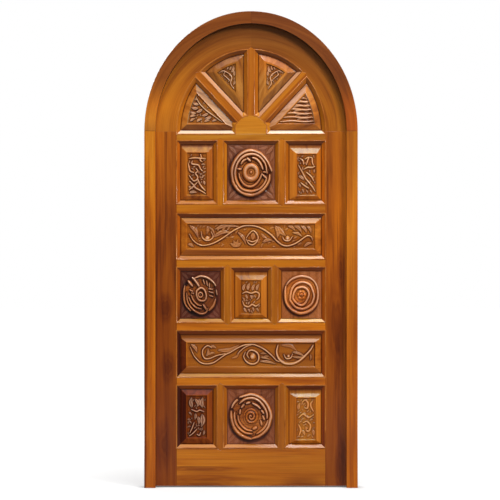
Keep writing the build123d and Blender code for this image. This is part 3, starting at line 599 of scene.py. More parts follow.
def panel(node, place, rings, carve, grid, marks, **looks):
    """Closed panel: a carved field, then rings of (inset, depth, cavity) over its front and round to its back.

    place(inset, s, t) gives the (x, z) of a share across and up the outline drawn in by an inset; grid is the count
    of steps across and up the field, marks the seed of its tool marks and looks are those of its wood; a ring's
    cavity is the amount of painted shade.
    """
    across, up = grid
    s, t = np.meshgrid(np.linspace(0, 1, across + 1), np.linspace(0, 1, up + 1), indexing="ij")
    x, z = place(rings[0][0], s, t)
    size = (np.ptp(x) / MM, np.ptp(z) / MM)
    carving = Carving((x - x.min()) / MM, (z - z.min()) / MM, *size)
    carve(carving)
    edge = np.minimum(np.minimum(s, 1 - s) * across, np.minimum(t, 1 - t) * up)
    gouged = tool_marks(carving.x, carving.z, marks)
    relief = (carving.relief + gouged * np.where(carving.relief < FLOOR_RELIEF, 1, 0.35)) * np.clip(edge / 2, 0, 1)
    y = leaf_front + rings[0][1] - relief * MM
    vertices = list(zip(x.ravel(), y.ravel(), z.ravel()))
    # Painted shade in the hollows and at the edges, with the stain and painted shadow of the carving
    cavity = list(np.maximum(hollows(relief), carving.stain_and_shadow).ravel())
    crest = list(carving.crest.ravel())
    stride = up + 1
    corners = [i * stride + j for i in range(across) for j in range(up)]
    faces = [(a, a + stride, a + stride + 1, a + 1) for a in corners]
    walk = [(i, 0) for i in range(across)] + [(across, j) for j in range(up)]
    walk += [(i, up) for i in range(across, 0, -1)] + [(0, j) for j in range(up, 0, -1)]
    ring = [i * stride + j for i, j in walk]
    rim_s, rim_t = np.array([i / across for i, j in walk]), np.array([j / up for i, j in walk])
    for inset, depth, shade in rings[1:]:
        ring_x, ring_z = place(inset, rim_s, rim_t)
        following = list(range(len(vertices), len(vertices) + len(walk)))
        vertices += list(zip(ring_x, np.full(ring_x.shape, leaf_front + depth), ring_z))
        cavity += [shade] * len(walk)
        for k in range(len(walk)):
            faces.append((ring[k], ring[k - 1], following[k - 1], following[k]))
        ring = following
    faces.append(tuple(ring))
    crest += [0.0] * (len(vertices) - len(crest))
    teak = wood(f"{node}_teak", *panel_tones, carved=hollow_shade, **looks)
    piece = build_mesh(f"{node}_carved", vertices, faces, teak, cavity=cavity, crest=crest)
    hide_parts(node)


# How far the bevel's upper foot, the field's upper edge and the field's lower edge sit below an even inset, and
# how far the field sits to the right of one
panel_drops = {
    "upper_left_panel": (8 * MM, 8 * MM, 7 * MM, 0),
    "upper_right_panel": (12 * MM, 14 * MM, 8 * MM, 7 * MM),
    "middle_panel": (14 * MM, 12 * MM, 9 * MM, 0),
    "lower_vine_panel": (16 * MM, 9 * MM, 0, 0),
    "lower_right_panel": (16 * MM, 10 * MM, 10 * MM, 3 * MM),
}


def oblong_place(node):
    """Outline of a rectangular panel's board, from the box of its tongue."""
    low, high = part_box(node)
    foot_drop, top_drop, bottom_drop, shift = panel_drops.get(node, (0, 0, 0, 0))

    def place(inset, s, t):
        gap = TONGUE + inset
        near = min(max(inset / SLOPE_FOOT[0], 0), 1)
        far = min(max((inset - SLOPE_FOOT[0]) / (SLOPE_TOP[0] - SLOPE_FOOT[0]), 0), 1)
        bottom = low.z + gap - far * bottom_drop
        top = high.z - gap - near * foot_drop - far * (top_drop - foot_drop)
        left = low.x + gap + far * shift
        return left + s * (high.x - low.x - 2 * gap), bottom + t * (top - bottom)

    return place


SLOPE_TOP = (BEVEL - 1.5 * MM, PANEL_TOP + 0.3 * MM)
SLOPE_FOOT = (4 * MM, GROOVE_FRONT - 2.0 * MM)
# Rings of the tongue and groove; the last value is painted shade, full in the groove
tongue_rings = [
    (0, GROOVE_FRONT, 1.0),
    (-TONGUE, GROOVE_FRONT, 1.0),
    (-TONGUE, GROOVE_BACK, 1.0),
    (0, GROOVE_BACK, 0.6),
]


def on_slope(share):
    """Inset and depth at a share of the way down the bevel."""
    return tuple(top + share * (foot - top) for top, foot in zip(SLOPE_TOP, SLOPE_FOOT))


def front_rings(rim=RIM):
    """Rings of a raised panel whose carved field lies a rim's width inside its bevel, with painted shade at the edges.
    """
    field = BEVEL + rim
    return [
        (field + 2.5 * MM, FIELD_FLOOR, 0.6),
        (field - 0.2 * MM, PANEL_TOP + 1.0 * MM, 0.3),
        (field - 1.0 * MM, PANEL_TOP + 0.2 * MM, 0.0),
        (BEVEL, PANEL_TOP, 0.0),
        (*SLOPE_TOP, 0.0),
        (*on_slope(0.08), 0.0),
        (*on_slope(0.92), 0.1),
        (*SLOPE_FOOT, 0.2),
        (1 * MM, GROOVE_FRONT - 0.5 * MM, 0.8),
        *tongue_rings,
    ]


raised_back = (BACK_BEVEL, GROOVE_BACK + BACK_RISE, 0.0)
# Factor of the painted shade in the deepest hollows of the panels, and their tones
hollow_shade = (0.20, 0.12, 0.09, 1)
panel_tones = (tone(200, 122, 34), tone(178, 98, 18), tone(138, 70, 10))


def upper_vine(field):
    """Wave of a vine with buds and leaves."""
    field.leaf_pale = 0.25
    field.stem([(1.3, 60), (4.4, 32), (9.6, 14), (14.9, 13), (21.9, 25), (28.9, 47.5), (36, 74), (43, 92), (48.2, 96),
                (54.4, 92), (60.5, 77.5), (66.7, 52.5), (71, 27.5), (75.4, 12), (79.8, 10), (86, 22.5), (91.2, 42.5),
                (94.5, 53), (97.5, 48), (98.5, 34)], 9.0, 6.5)
    field.leaf((1.5, 96), (8.5, 42), 0.13)
    field.leaf((0, 16), (5, 5), 0.20)
    field.stem([(10.5, 72), (11.5, 46), (14.5, 33), (18, 36), (20, 50), (18.5, 70)], 8.0)
    field.knob((15.5, 42), 11.0, 5.4)
    field.leaf((15.5, 94), (15, 60), 0.20, 0.1, 3.6)
    for start, end, fullness in (
        ((16.5, 92), (21.5, 48), 0.08), ((20.5, 48), (34, 68), 0.12), ((21.5, 80), (40.5, 90), 0.09),
        ((23.5, 72), (26.5, 93), 0.16), ((27.5, 70), (30.5, 93), 0.16), ((31.5, 76), (34.5, 95), 0.16),
    ):
        field.leaf(start, end, fullness)
    field.leaf((39.5, 68), (46, 16), 0.11, 0.1, 5.2, 3)
    for tip in ((33.5, 20), (36, 34), (39.5, 36), (42.5, 24)):
        field.leaf((38.5, 5), tip, 0.20, 0.0, 3.6, 0)
    field.stem([(46.2, 44), (48.7, 62), (51.7, 74), (54.6, 60), (55.6, 40), (53.2, 20), (50.5, 14), (47.8, 22),
                (46.2, 40)], 8.0, 5.4)
    field.stem([(47.4, 34), (51.2, 27), (55.2, 36)], 8.0, 5.8)
    field.leaf((51.7, 66), (51.2, 34), 0.30, 0.0, 3.6)
    field.leaf((59, 25), (67, 33), 0.16)
    field.leaf((58, 62), (63, 40), 0.14, -0.1, 3.0)
    field.leaf((69, 96), (70.5, 42), 0.18, 0.16)
    field.leaf((71.5, 92), (77.5, 52), 0.20, -0.1, 3.8)
    field.stem([(74.8, 48), (76.5, 34), (80, 32), (82.8, 50)], 8.0)
    field.knob((78.8, 42), 11.0, 5.4)
    field.leaf((82.5, 66), (90.5, 48), 0.12)
    for start, end in (
        ((79, 94), (85, 72)), ((84, 95), (90, 66)), ((89, 95), (94, 64)), ((94, 95), (97.5, 62)),
        ((92, 6), (98.5, 22)),
    ):
        field.leaf(start, end, 0.16, 0.14)
    field.scatter(5, 120, 20.0, 40, 40, 2.2)


def lower_vine(field):
    """Wave of a vine with round curls."""
    field.leaf_pale = 0.3
    field.stem([(2, 83), (5, 46), (9.6, 18), (14.3, 10), (20, 15), (25, 33), (29.6, 51), (34, 62), (39, 79),
                (44.3, 92), (51, 96), (56.5, 86), (61.7, 68.5), (67, 43), (70, 25), (72.5, 20)], 9.0, 6.5)
    field.stem([(71.2, 93), (70.2, 63), (72, 33), (76.5, 13), (82.6, 11), (87.8, 23), (92, 43), (96.5, 69),
                (99, 92)], 15.0, 5.0)
    field.leaf((2.5, 96), (7.5, 58), 0.16)
    field.stem([(19, 80), (15.7, 90), (12.2, 75), (11.7, 53), (13.5, 34.5), (17.4, 34), (22.6, 46),
                (30, 55)], 9.0, 6.0)
    field.leaf((15, 44), (16, 76), 0.20, -0.1)
    field.leaf((16.5, 50), (21.5, 58), 0.18)
    field.leaf((18, 88), (22.5, 78), 0.20)
    field.leaf((23.5, 70), (41, 94), 0.09, -0.12, 3.4, 3)
    field.stem([(39.2, 52), (42, 70), (46, 86), (51, 95)], 8.0)
    field.leaf((34.5, 34), (41, 62), 0.10, -0.15, 2.6)
    field.stem([(45.5, 62), (44.2, 40), (47, 17), (51.5, 9), (55.5, 22), (55.8, 50), (52.5, 68), (48.5, 68),
                (46.8, 50), (48.5, 34)], 10.0, 6.0)
    field.knob((51.2, 42), 15.0, 5.4)
    for start, end, fullness in (
        ((57.2, 56), (62.5, 54), 0.12), ((57.2, 40), (65.5, 27), 0.10), ((56.8, 22), (70, 9), 0.08),
        ((60, 44), (64.5, 42), 0.12),
    ):
        field.leaf(start, end, fullness, 0.05, 5.2, 0)
    field.stem([(75.8, 52), (77.8, 34), (81.2, 36), (82.8, 54)], 9.0, 6.0)
    field.knob((79.5, 44), 8.0, 4.6)
    field.leaf((82.5, 62), (92.5, 41), 0.10, 0.08, 5.2)
    field.leaf((82.5, 42), (92, 40), 0.09, -0.05, 5.2)
    field.leaf((74, 92), (86, 68), 0.12, 0.15, 2.6)
    field.leaf((96.6, 52), (96.8, 26), 0.14)


# Strokes of the small panels: paths of ridges
small_strokes = {
    "upper_left_panel": (
        [(8, 87), (35, 89), (70, 88), (98, 87.5)], [(70, 98), (74, 91), (68, 84), (80, 79)],
        [(2, 78), (8, 65), (14, 57), (34, 53)], [(75, 73), (97, 73)],
        [(26, 82), (22, 75), (40, 73), (60, 71), (70, 62), (82, 57)],
        [(45, 64), (54, 57), (43, 51), (54, 43), (50, 36), (36, 33), (24, 36), (8, 46)], [(76, 40), (94, 47)],
        [(53, 38), (72, 21), (97, 9)], [(55, 31), (32, 20), (8, 11)],
        [(9, 33), (31, 23), (43, 16), (72, 9), (98, 2)], [(4, 19), (28, 13)], [(10, 4), (50, 5)],
        [(20, 64), (32, 60)], [(84, 34), (94, 22)],
    ),
    "upper_right_panel": (
        [(12, 91), (29, 85), (33, 76)], [(40, 89), (60, 93), (54, 84), (48, 75)],
        [(64, 94), (79, 91), (81, 81), (88, 73)], [(36, 64), (55, 68), (79, 68), (95, 71)],
        [(5, 74), (19, 62), (31, 52), (45, 40), (64, 30), (83, 18), (97, 8)],
        [(46, 57), (64, 50), (79, 43), (88, 34)], [(5, 47), (36, 36)], [(90, 64), (90, 54)],
        [(17, 30), (40, 22), (62, 16)], [(8, 28), (14, 17)], [(24, 14), (34, 5)], [(46, 12), (56, 4)],
        [(68, 11), (78, 4)], [(6, 9), (14, 3)], [(10, 80), (18, 76)],
    ),
    "lower_left_panel": (
        [(23.5, 72), (22, 98)], [(81, 72), (83, 98)], [(40, 94), (55, 78)], [(64, 94), (50, 74)],
        [(20, 68), (48, 63), (66, 66), (90, 62)], [(6, 61), (22, 53)], [(42, 58), (38, 42)], [(78, 56), (74, 24)],
        [(36, 36), (25, 23), (11, 9)], [(52, 20), (28, 9), (8, 2)], [(50, 7), (63, 4), (72, 12)],
        [(8, 40), (20, 32)], [(90, 16), (84, 4)], [(56, 50), (60, 30)],
    ),
    "lower_right_panel": (
        [(28, 90), (46, 96), (62, 88), (58, 76), (42, 77)], [(88, 95), (76, 86), (82, 76), (92, 68)],
        [(10, 72), (20, 90)], [(66, 72), (52, 66)], [(10, 52), (36, 61), (64, 53), (93, 60)], [(24, 47), (42, 50)],
        [(70, 45), (90, 49)], [(34, 40), (56, 43), (74, 34), (70, 21), (54, 20), (50, 30)],
        [(10, 36), (22, 22), (12, 8)], [(28, 22), (44, 8)], [(86, 24), (92, 8)], [(58, 5), (76, 11)],
    ),
    "middle_panel": (
        [(3, 61), (25, 66), (50, 62), (76, 66), (93, 60), (91, 49), (80, 42)], [(8, 70), (20, 91)],
        [(33, 71), (44, 94)], [(58, 70), (70, 90)], [(80, 71), (93, 90)], [(20, 57), (30, 43)],
        [(45, 56), (55, 42)], [(66, 56), (74, 46)], [(4, 38), (15, 24), (36, 20), (56, 27), (75, 22), (95, 29)],
        [(10, 17), (21, 3)], [(33, 14), (44, 2)], [(56, 18), (65, 5)], [(78, 16), (90, 4)], [(34, 26), (45, 37)],
        [(62, 30), (73, 38)],
    ),
}


def stroke_carving(strokes, width, height):
    """Carve from a list of strokes, the long ones as stems and the short ones as leaves."""

    def carve(field):
        for points in strokes:
            if len(points) == 2:
                field.leaf(*points, 0.22, 0.1, height * 0.9, 3)
            else:
                field.stem(points, width, height)
        field.scatter(len(strokes), 220, 15.0, 60, 60, height * 0.8)

    return carve


STROKE_WIDTH = 10.0
STROKE_HEIGHT = 5.8
LOW_STROKE_HEIGHT = 3.0
# Grids of the carved fields: steps across and up
SMALL_GRID = (64, 128)
VINE_GRID = (340, 70)
WEDGE_GRID = (90, 70)
GROUND_GRID = (110, 128)
# Painted shade on faces that look left; for each panel, painted highlight and shade on faces that look up, painted
# shade on the lower left panel's front and painted light on the lower right one's front
dark_flank = even_flank(-1, (0.30, 0.16, 0.2, 1))
panel_looks = {
    "upper_left_panel": {"over": (0.98, 1.36, 1.5, 1)},
    "upper_right_panel": {"over": (0.70, 1.09, 1.7, 1)},
    "middle_panel": {"over": (0.74, 0.92, 1.15, 1)},
    "lower_left_panel": {
        "over": (0.70, 0.45, 0.2, 1), "front": (0.76, 0.55, 0.50, 1), "flank": dark_flank, "coat": 0.15,
    },
    "lower_right_panel": {"over": (0.62, 0.92, 1.35, 1), "front": (1.75, 1.9, 1.8, 1)},
    "upper_vine_panel": {"over": (1.05, 1.35, 1.7, 1)},
    "lower_vine_panel": {"over": (0.80, 0.93, 1.25, 1), "flank": dark_flank},
}
for index, (node, strokes) in enumerate(small_strokes.items()):
    height = LOW_STROKE_HEIGHT if node == "lower_right_panel" else STROKE_HEIGHT
    looks = {"front": grey(1.28), **panel_looks[node]}
    panel(node, oblong_place(node), front_rings() + [raised_back], stroke_carving(strokes, STROKE_WIDTH, height),
          SMALL_GRID, index, seed=index + 40, worn=0.85, **looks)
vines = {"upper_vine_panel": upper_vine, "lower_vine_panel": lower_vine}
for index, (node, carve) in enumerate(vines.items()):
    panel(node, oblong_place(node), front_rings() + [raised_back], carve, VINE_GRID, index + 20, angle=90,
          seed=index + 50, worn=1.0, front=grey(1.24), coat=0.4, **panel_looks[node])


# Wedge panels of the fan

leaf_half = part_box("lock_stile")[1].x
leaf_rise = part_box("arch_rail_left")[1].z - spring_height
land_radii = (leaf_half - STILE_FACE - MOULDING, leaf_rise - CROWN_FACE - MOULDING)


def ray(angle):
    """Directions along and across a ray from the springing centre, its angle counted from upright."""
    turn = math.radians(angle)
    return np.array((math.sin(turn), math.cos(turn))), np.array((math.cos(turn), -math.sin(turn)))


def meet_ellipse(point, along, radii):
    """Where a line from a point inside an ellipse leaves it."""
    p, d = point / np.array(radii), along / np.array(radii)
    a, b, c = d @ d, 2 * (p @ d), p @ p - 1
    return point + (math.sqrt(b * b - 4 * a * c) - b) / (2 * a) * along


def wedge_corners(first, second, inset):
    """Tip of a wedge between two rays given as (angle, land), the ends of its arc, and the arc's radii."""
    along, across = ray(first[0])
    other_along, other_across = ray(second[0])
    start = across * (first[1] + PANEL_MARGIN + inset)
    gap = -other_across * (second[1] + PANEL_MARGIN + inset) - start
    turn = along[0] * other_along[1] - along[1] * other_along[0]
    tip = start + (gap[0] * other_along[1] - gap[1] * other_along[0]) / turn * along
    radii = tuple(radius - PANEL_MARGIN - inset for radius in land_radii)
    return tip, meet_ellipse(tip, along, radii), meet_ellipse(tip, other_along, radii), radii


def arc_points(one, two, radii, t):
    """Points at shares t of the arc of an ellipse between two of its points."""
    x, z = one[0] + t * (two[0] - one[0]), one[1] + t * (two[1] - one[1])
    size = np.sqrt((x / radii[0]) ** 2 + (z / radii[1]) ** 2)
    return x / size, z / size


def wedge_place(first, second, side):
    """Outline of a wedge's board; side mirrors it for the left."""

    def place(inset, s, t):
        tip, one, two, radii = wedge_corners(first, second, inset)
        x, z = arc_points(one, two, radii, t)
        return side * (tip[0] + s * (x - tip[0])), tip[1] + s * (z - tip[1]) + spring_height

    return place


def leaf_spray(field):
    """Vine down the slope of a wedge, with leaves over its foot."""
    field.stem([(22, 92), (34, 66), (52, 44), (72, 26), (97, 4)], 8.0, 5.5)
    for start, end in (
        ((30, 66), (12, 72)), ((28, 52), (8, 56)), ((40, 50), (22, 38)), ((22, 34), (5, 40)), ((5, 22), (22, 26)),
        ((6, 6), (20, 16)), ((24, 5), (40, 14)), ((56, 34), (38, 26)), ((66, 22), (48, 18)), ((46, 5), (62, 10)),
        ((68, 6), (82, 10)), ((26, 82), (14, 90)),
    ):
        field.leaf(start, end, 0.22, 0.1, 5.2)
    field.scatter(7, 160, 14.0, 60, 50)


def louvres(field):
    """Level ridges stacked across the field."""
    for index, rise in enumerate((5, 19, 33, 47, 61, 75)):
        field.stem([(4, rise), (40, rise + 3), (70, rise), (99, rise + 2)], 10.0, 5.0)
        field.leaf((52 - 5 * index, rise + 7), (86, rise + 8), 0.07, cuts=0)


def tall_spray(field):
    """Climbing scroll with leaves for the upright wedges."""
    field.stem([(8, 10), (26, 30), (20, 52), (46, 70), (88, 80)], 8.0)
    field.stem([(34, 42), (50, 52), (66, 62), (58, 72)], 7.0)
    for start, end in (
        ((10, 24), (4, 44)), ((24, 44), (40, 34)), ((6, 56), (14, 78)), ((22, 70), (10, 94)), ((34, 78), (26, 94)),
        ((48, 80), (42, 93)), ((62, 84), (58, 94)), ((70, 72), (90, 70)), ((34, 56), (30, 68)),
    ):
        field.leaf(start, end, 0.2)
    field.scatter(8, 160, 14.0, 60, 50)


def mirrored(carve):
    """The same carving turned left to right."""

    def turned(field):
        field.x = 100 * field.percent[0] - field.x
        carve(field)

    return turned


middle_ray = (0, SPOKE_LAND)
slant_ray = (SPOKE_ANGLE, SPOKE_LAND)
floor_ray = (90, FAN_BASE_LAND)
upright_top = (1.90, 1.99, full)
# Rays on both sides of a wedge, side of the door, carving and looks of the wood: greyer fronts, painted sheen on the
# slanted bevels, painted shade on faces that look down and near the arch
wedges = {
    "fan_panel_far_left": (slant_ray, floor_ray, -1, leaf_spray, {
        "front": (1.15, 1.3, 2.4, 1), "under": (0.31, 0.21, 0.16, 1), "flank": even_flank(1, (0.70, 1.25, 4.6, 1)),
    }),
    "fan_panel_left": (middle_ray, slant_ray, -1, mirrored(tall_spray), {
        "front": (0.95, 1.25, 2.8, 1), "fall": (*upright_top, (0.75, 0.62, 0.35, 1)),
    }),
    "fan_panel_right": (middle_ray, slant_ray, 1, tall_spray, {
        "front": (1.15, 1.55, 4.4, 1), "under": (0.2, 0.12, 0.1, 1), "fall": (*upright_top, (0.95, 0.70, 0.35, 1)),
    }),
    "fan_panel_far_right": (slant_ray, floor_ray, 1, louvres, {
        "front": (1.15, 1.25, 1.7, 1), "flank": even_flank(-1, (1.1, 2.0, 15.0, 1)),
    }),
}
for index, (node, (first, second, side, carve, looks)) in enumerate(wedges.items()):
    panel(node, wedge_place(first, second, side), front_rings(WIDE_RIM if first == middle_ray else RIM), carve,
          WEDGE_GRID, index + 30, angle=side * (first[0] + second[0]) / 2, seed=index + 60, worn=0.9, **looks)


# Beads round the openings of the leaf

def bead(name, outline, material):
    """Half-round bead along a closed outline of (x, z) points, mitred at its corners."""
    points = np.array(outline)
    ahead = np.roll(points, -1, 0) - points
    ahead /= np.linalg.norm(ahead, axis=1)[:, None]
    behind = np.roll(ahead, 1, 0)
    area = np.sum(points[:, 0] * np.roll(points[:, 1], -1) - np.roll(points[:, 0], -1) * points[:, 1])
    way = 1 if area > 0 else -1
    inward = way * np.stack((-ahead[:, 1], ahead[:, 0]), 1)
    previous = way * np.stack((-behind[:, 1], behind[:, 0]), 1)
    mitre = (inward + previous) / (1 + np.sum(inward * previous, axis=1))[:, None]
    slope = MOULDING_DEPTH / MOULDING
    profile = [(-BEAD, BEAD_ROOT)]
    for turn in np.linspace(0, math.pi, 7):
        depth = (1 - math.cos(turn)) * BEAD * slope / 2 - BEAD_BULGE * BEAD * math.sin(turn)
        profile.append((-BEAD * math.cos(turn), depth))
    profile.append((BEAD, BEAD * slope + BEAD_ROOT))
    vertices = []
    for inset, depth in profile:
        for x, z in points + mitre * inset:
            vertices.append((x, leaf_front + depth, z))
    count, layers = len(points), len(profile)
    faces = []
    for layer in range(layers):
        low, high = layer * count, (layer + 1) % layers * count
        for k in range(count):
            n = (k + 1) % count
            faces.append((low + k, low + n, high + n, high + k)[::way])
    piece = build_mesh(name, vertices, faces, material, crease=50)


bead_tones = (tone(200, 126, 48), tone(182, 104, 30), tone(150, 78, 18))
bead_teak = wood("bead_teak", *bead_tones, angle=30, seed=90, streak=0.4)
ground_nodes = [f"{row}_ground_panel" for row in ("upper", "middle_left", "middle_right", "lower")]
for node in (*small_strokes, *vines, *ground_nodes):
    low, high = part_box(node)
    left, right = low.x - OPENING_GAP, high.x + OPENING_GAP
    bottom, top = low.z - OPENING_GAP, high.z + OPENING_GAP
    bead(f"{node}_bead", [(left, bottom), (right, bottom), (right, top), (left, top)], bead_teak)
for node, (first, second, side, *_) in wedges.items():
    _, one, two, radii = wedge_corners(first, second, -MOULDING - PANEL_MARGIN)
    along, across = ray(first[0])
    other_along, other_across = ray(second[0])
    corner = ray((first[0] + second[0]) / 2)[0] * HUB_FLAT / math.cos(math.radians((second[0] - first[0]) / 2))
    arc = np.stack(arc_points(one, two, radii, np.linspace(0, 1, 40)), 1)
    outline = [HUB_FLAT * along + (first[1] - MOULDING) * across, *arc]
    outline += [HUB_FLAT * other_along - (second[1] - MOULDING) * other_across, corner]
    bead(f"{node}_bead", [(side * x, z + spring_height) for x, z in outline], bead_teak)


# Grounds behind the rosettes, with leaves in the corners

# Strength, reach and width of the painted shadow round a rosette, in shares of its size, and the side where it is
# darkest
DROP_SHADOW = 1.8
DROP_SHADOW_REACH = 0.97
DROP_SHADOW_WIDTH = 0.13
DROP_SHADOW_SIDE = math.radians(235)
# Start and end of the leaves in the lower left corner, and their shares of the full height
corner_leaves = (((3, 3), (19, 17), 1.0), ((3, 12), (9, 30), 0.8), ((14, 3), (34, 7), 0.8))


def ground_carving(rose, leaf_height):
    """Three low leaves in each corner, pointing to the middle, and a painted shadow in the angle round the rosette."""
    low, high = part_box(rose)

    def carve(field):
        for across in (False, True):
            for up in (False, True):
                for start, end, share in corner_leaves:
                    ends = [(100 - u if across else u, 100 - v if up else v) for u, v in (start, end)]
                    field.leaf(*ends, 0.15, 0.05, leaf_height * share, 3)
        # Painted shadow round the rosette, darkest to its lower left
        u = (field.x - 50 * field.percent[0]) * 2 * MM / (high.x - low.x)
        v = (field.z - 50 * field.percent[1]) * 2 * MM / (high.z - low.z)
        shade_side = 0.65 + 0.45 * np.cos(np.arctan2(v, u) - DROP_SHADOW_SIDE)
        painted_shadow = DROP_SHADOW * shade_side * np.exp(-(((np.hypot(u, v) - DROP_SHADOW_REACH) / DROP_SHADOW_WIDTH) ** 2))
        field.stain_and_shadow = np.maximum(field.stain_and_shadow, np.clip(painted_shadow, 0, 1))

    return carve


# Rings round the ground's edge; the last value is painted shade, darkest towards the groove
ground_rings = [
    (1.5 * MM, GROUND, 0.5),
    (0, GROUND + 0.4 * MM, 0.8),
    *tongue_rings,
    raised_back,
]
rosette_tones = (tone(202, 122, 50), tone(176, 96, 30), tone(132, 64, 16))


# Rosettes: ridges wound round a boss. A ridge is its path, in hundredths of the rosette's half width and half
# height from its middle, then half its width and its height, in hundredths as well

def rose_lift(x, z, base, fullness, ridges):
    """Height of the ridges at each place, as a share of the rosette's height, and the painted highlight on their
    crests.
    """
    lift, crest = np.full(x.shape, base), np.zeros(x.shape)
    for points, width, height in ridges:
        half, top = width / 100 * fullness, height / 100
        path = smooth_path([np.array(p) / 100 for p in points], 5 * len(points))
        distance, along = nearest(x, z, path)
        ends = 1.0 if points[0] == points[-1] else 0.3 + 0.7 * np.sin(math.pi * along) ** 0.35
        share = np.clip(distance / (half * ends), 0, 1)
        rise = top * (1 - share**2) ** 0.6
        crest = np.where(rise > lift, top * np.exp(-((share / 0.30) ** 2)), crest)
        lift = np.maximum(lift, rise)
    return lift, crest


def boss_lift(reach, angle, kind, radius):
    """Height of the boss: a ring round a bead, a small flower or a spiral."""
    inner = reach / radius
    dome = np.clip(1 - inner**2, 0, 1) ** 0.5
    if kind == "flower":
        dome = dome * (0.82 + 0.18 * np.cos(6 * angle)) * (1 - 0.4 * np.exp(-((inner - 0.40) / 0.09) ** 2))
    elif kind == "spiral":
        dome = dome * (0.76 + 0.24 * np.cos(2 * math.pi * 2.6 * inner - angle))
    else:
        dome = np.clip(1 - ((inner - 0.70) / 0.30) ** 2, 0, 1) ** 0.5
        dome = np.maximum(dome, 0.45 * (inner < 0.6))
        dome = np.maximum(dome, np.clip(1 - (inner / 0.20) ** 2, 0, 1) ** 0.5)
    return 0.16 + 0.80 * dome


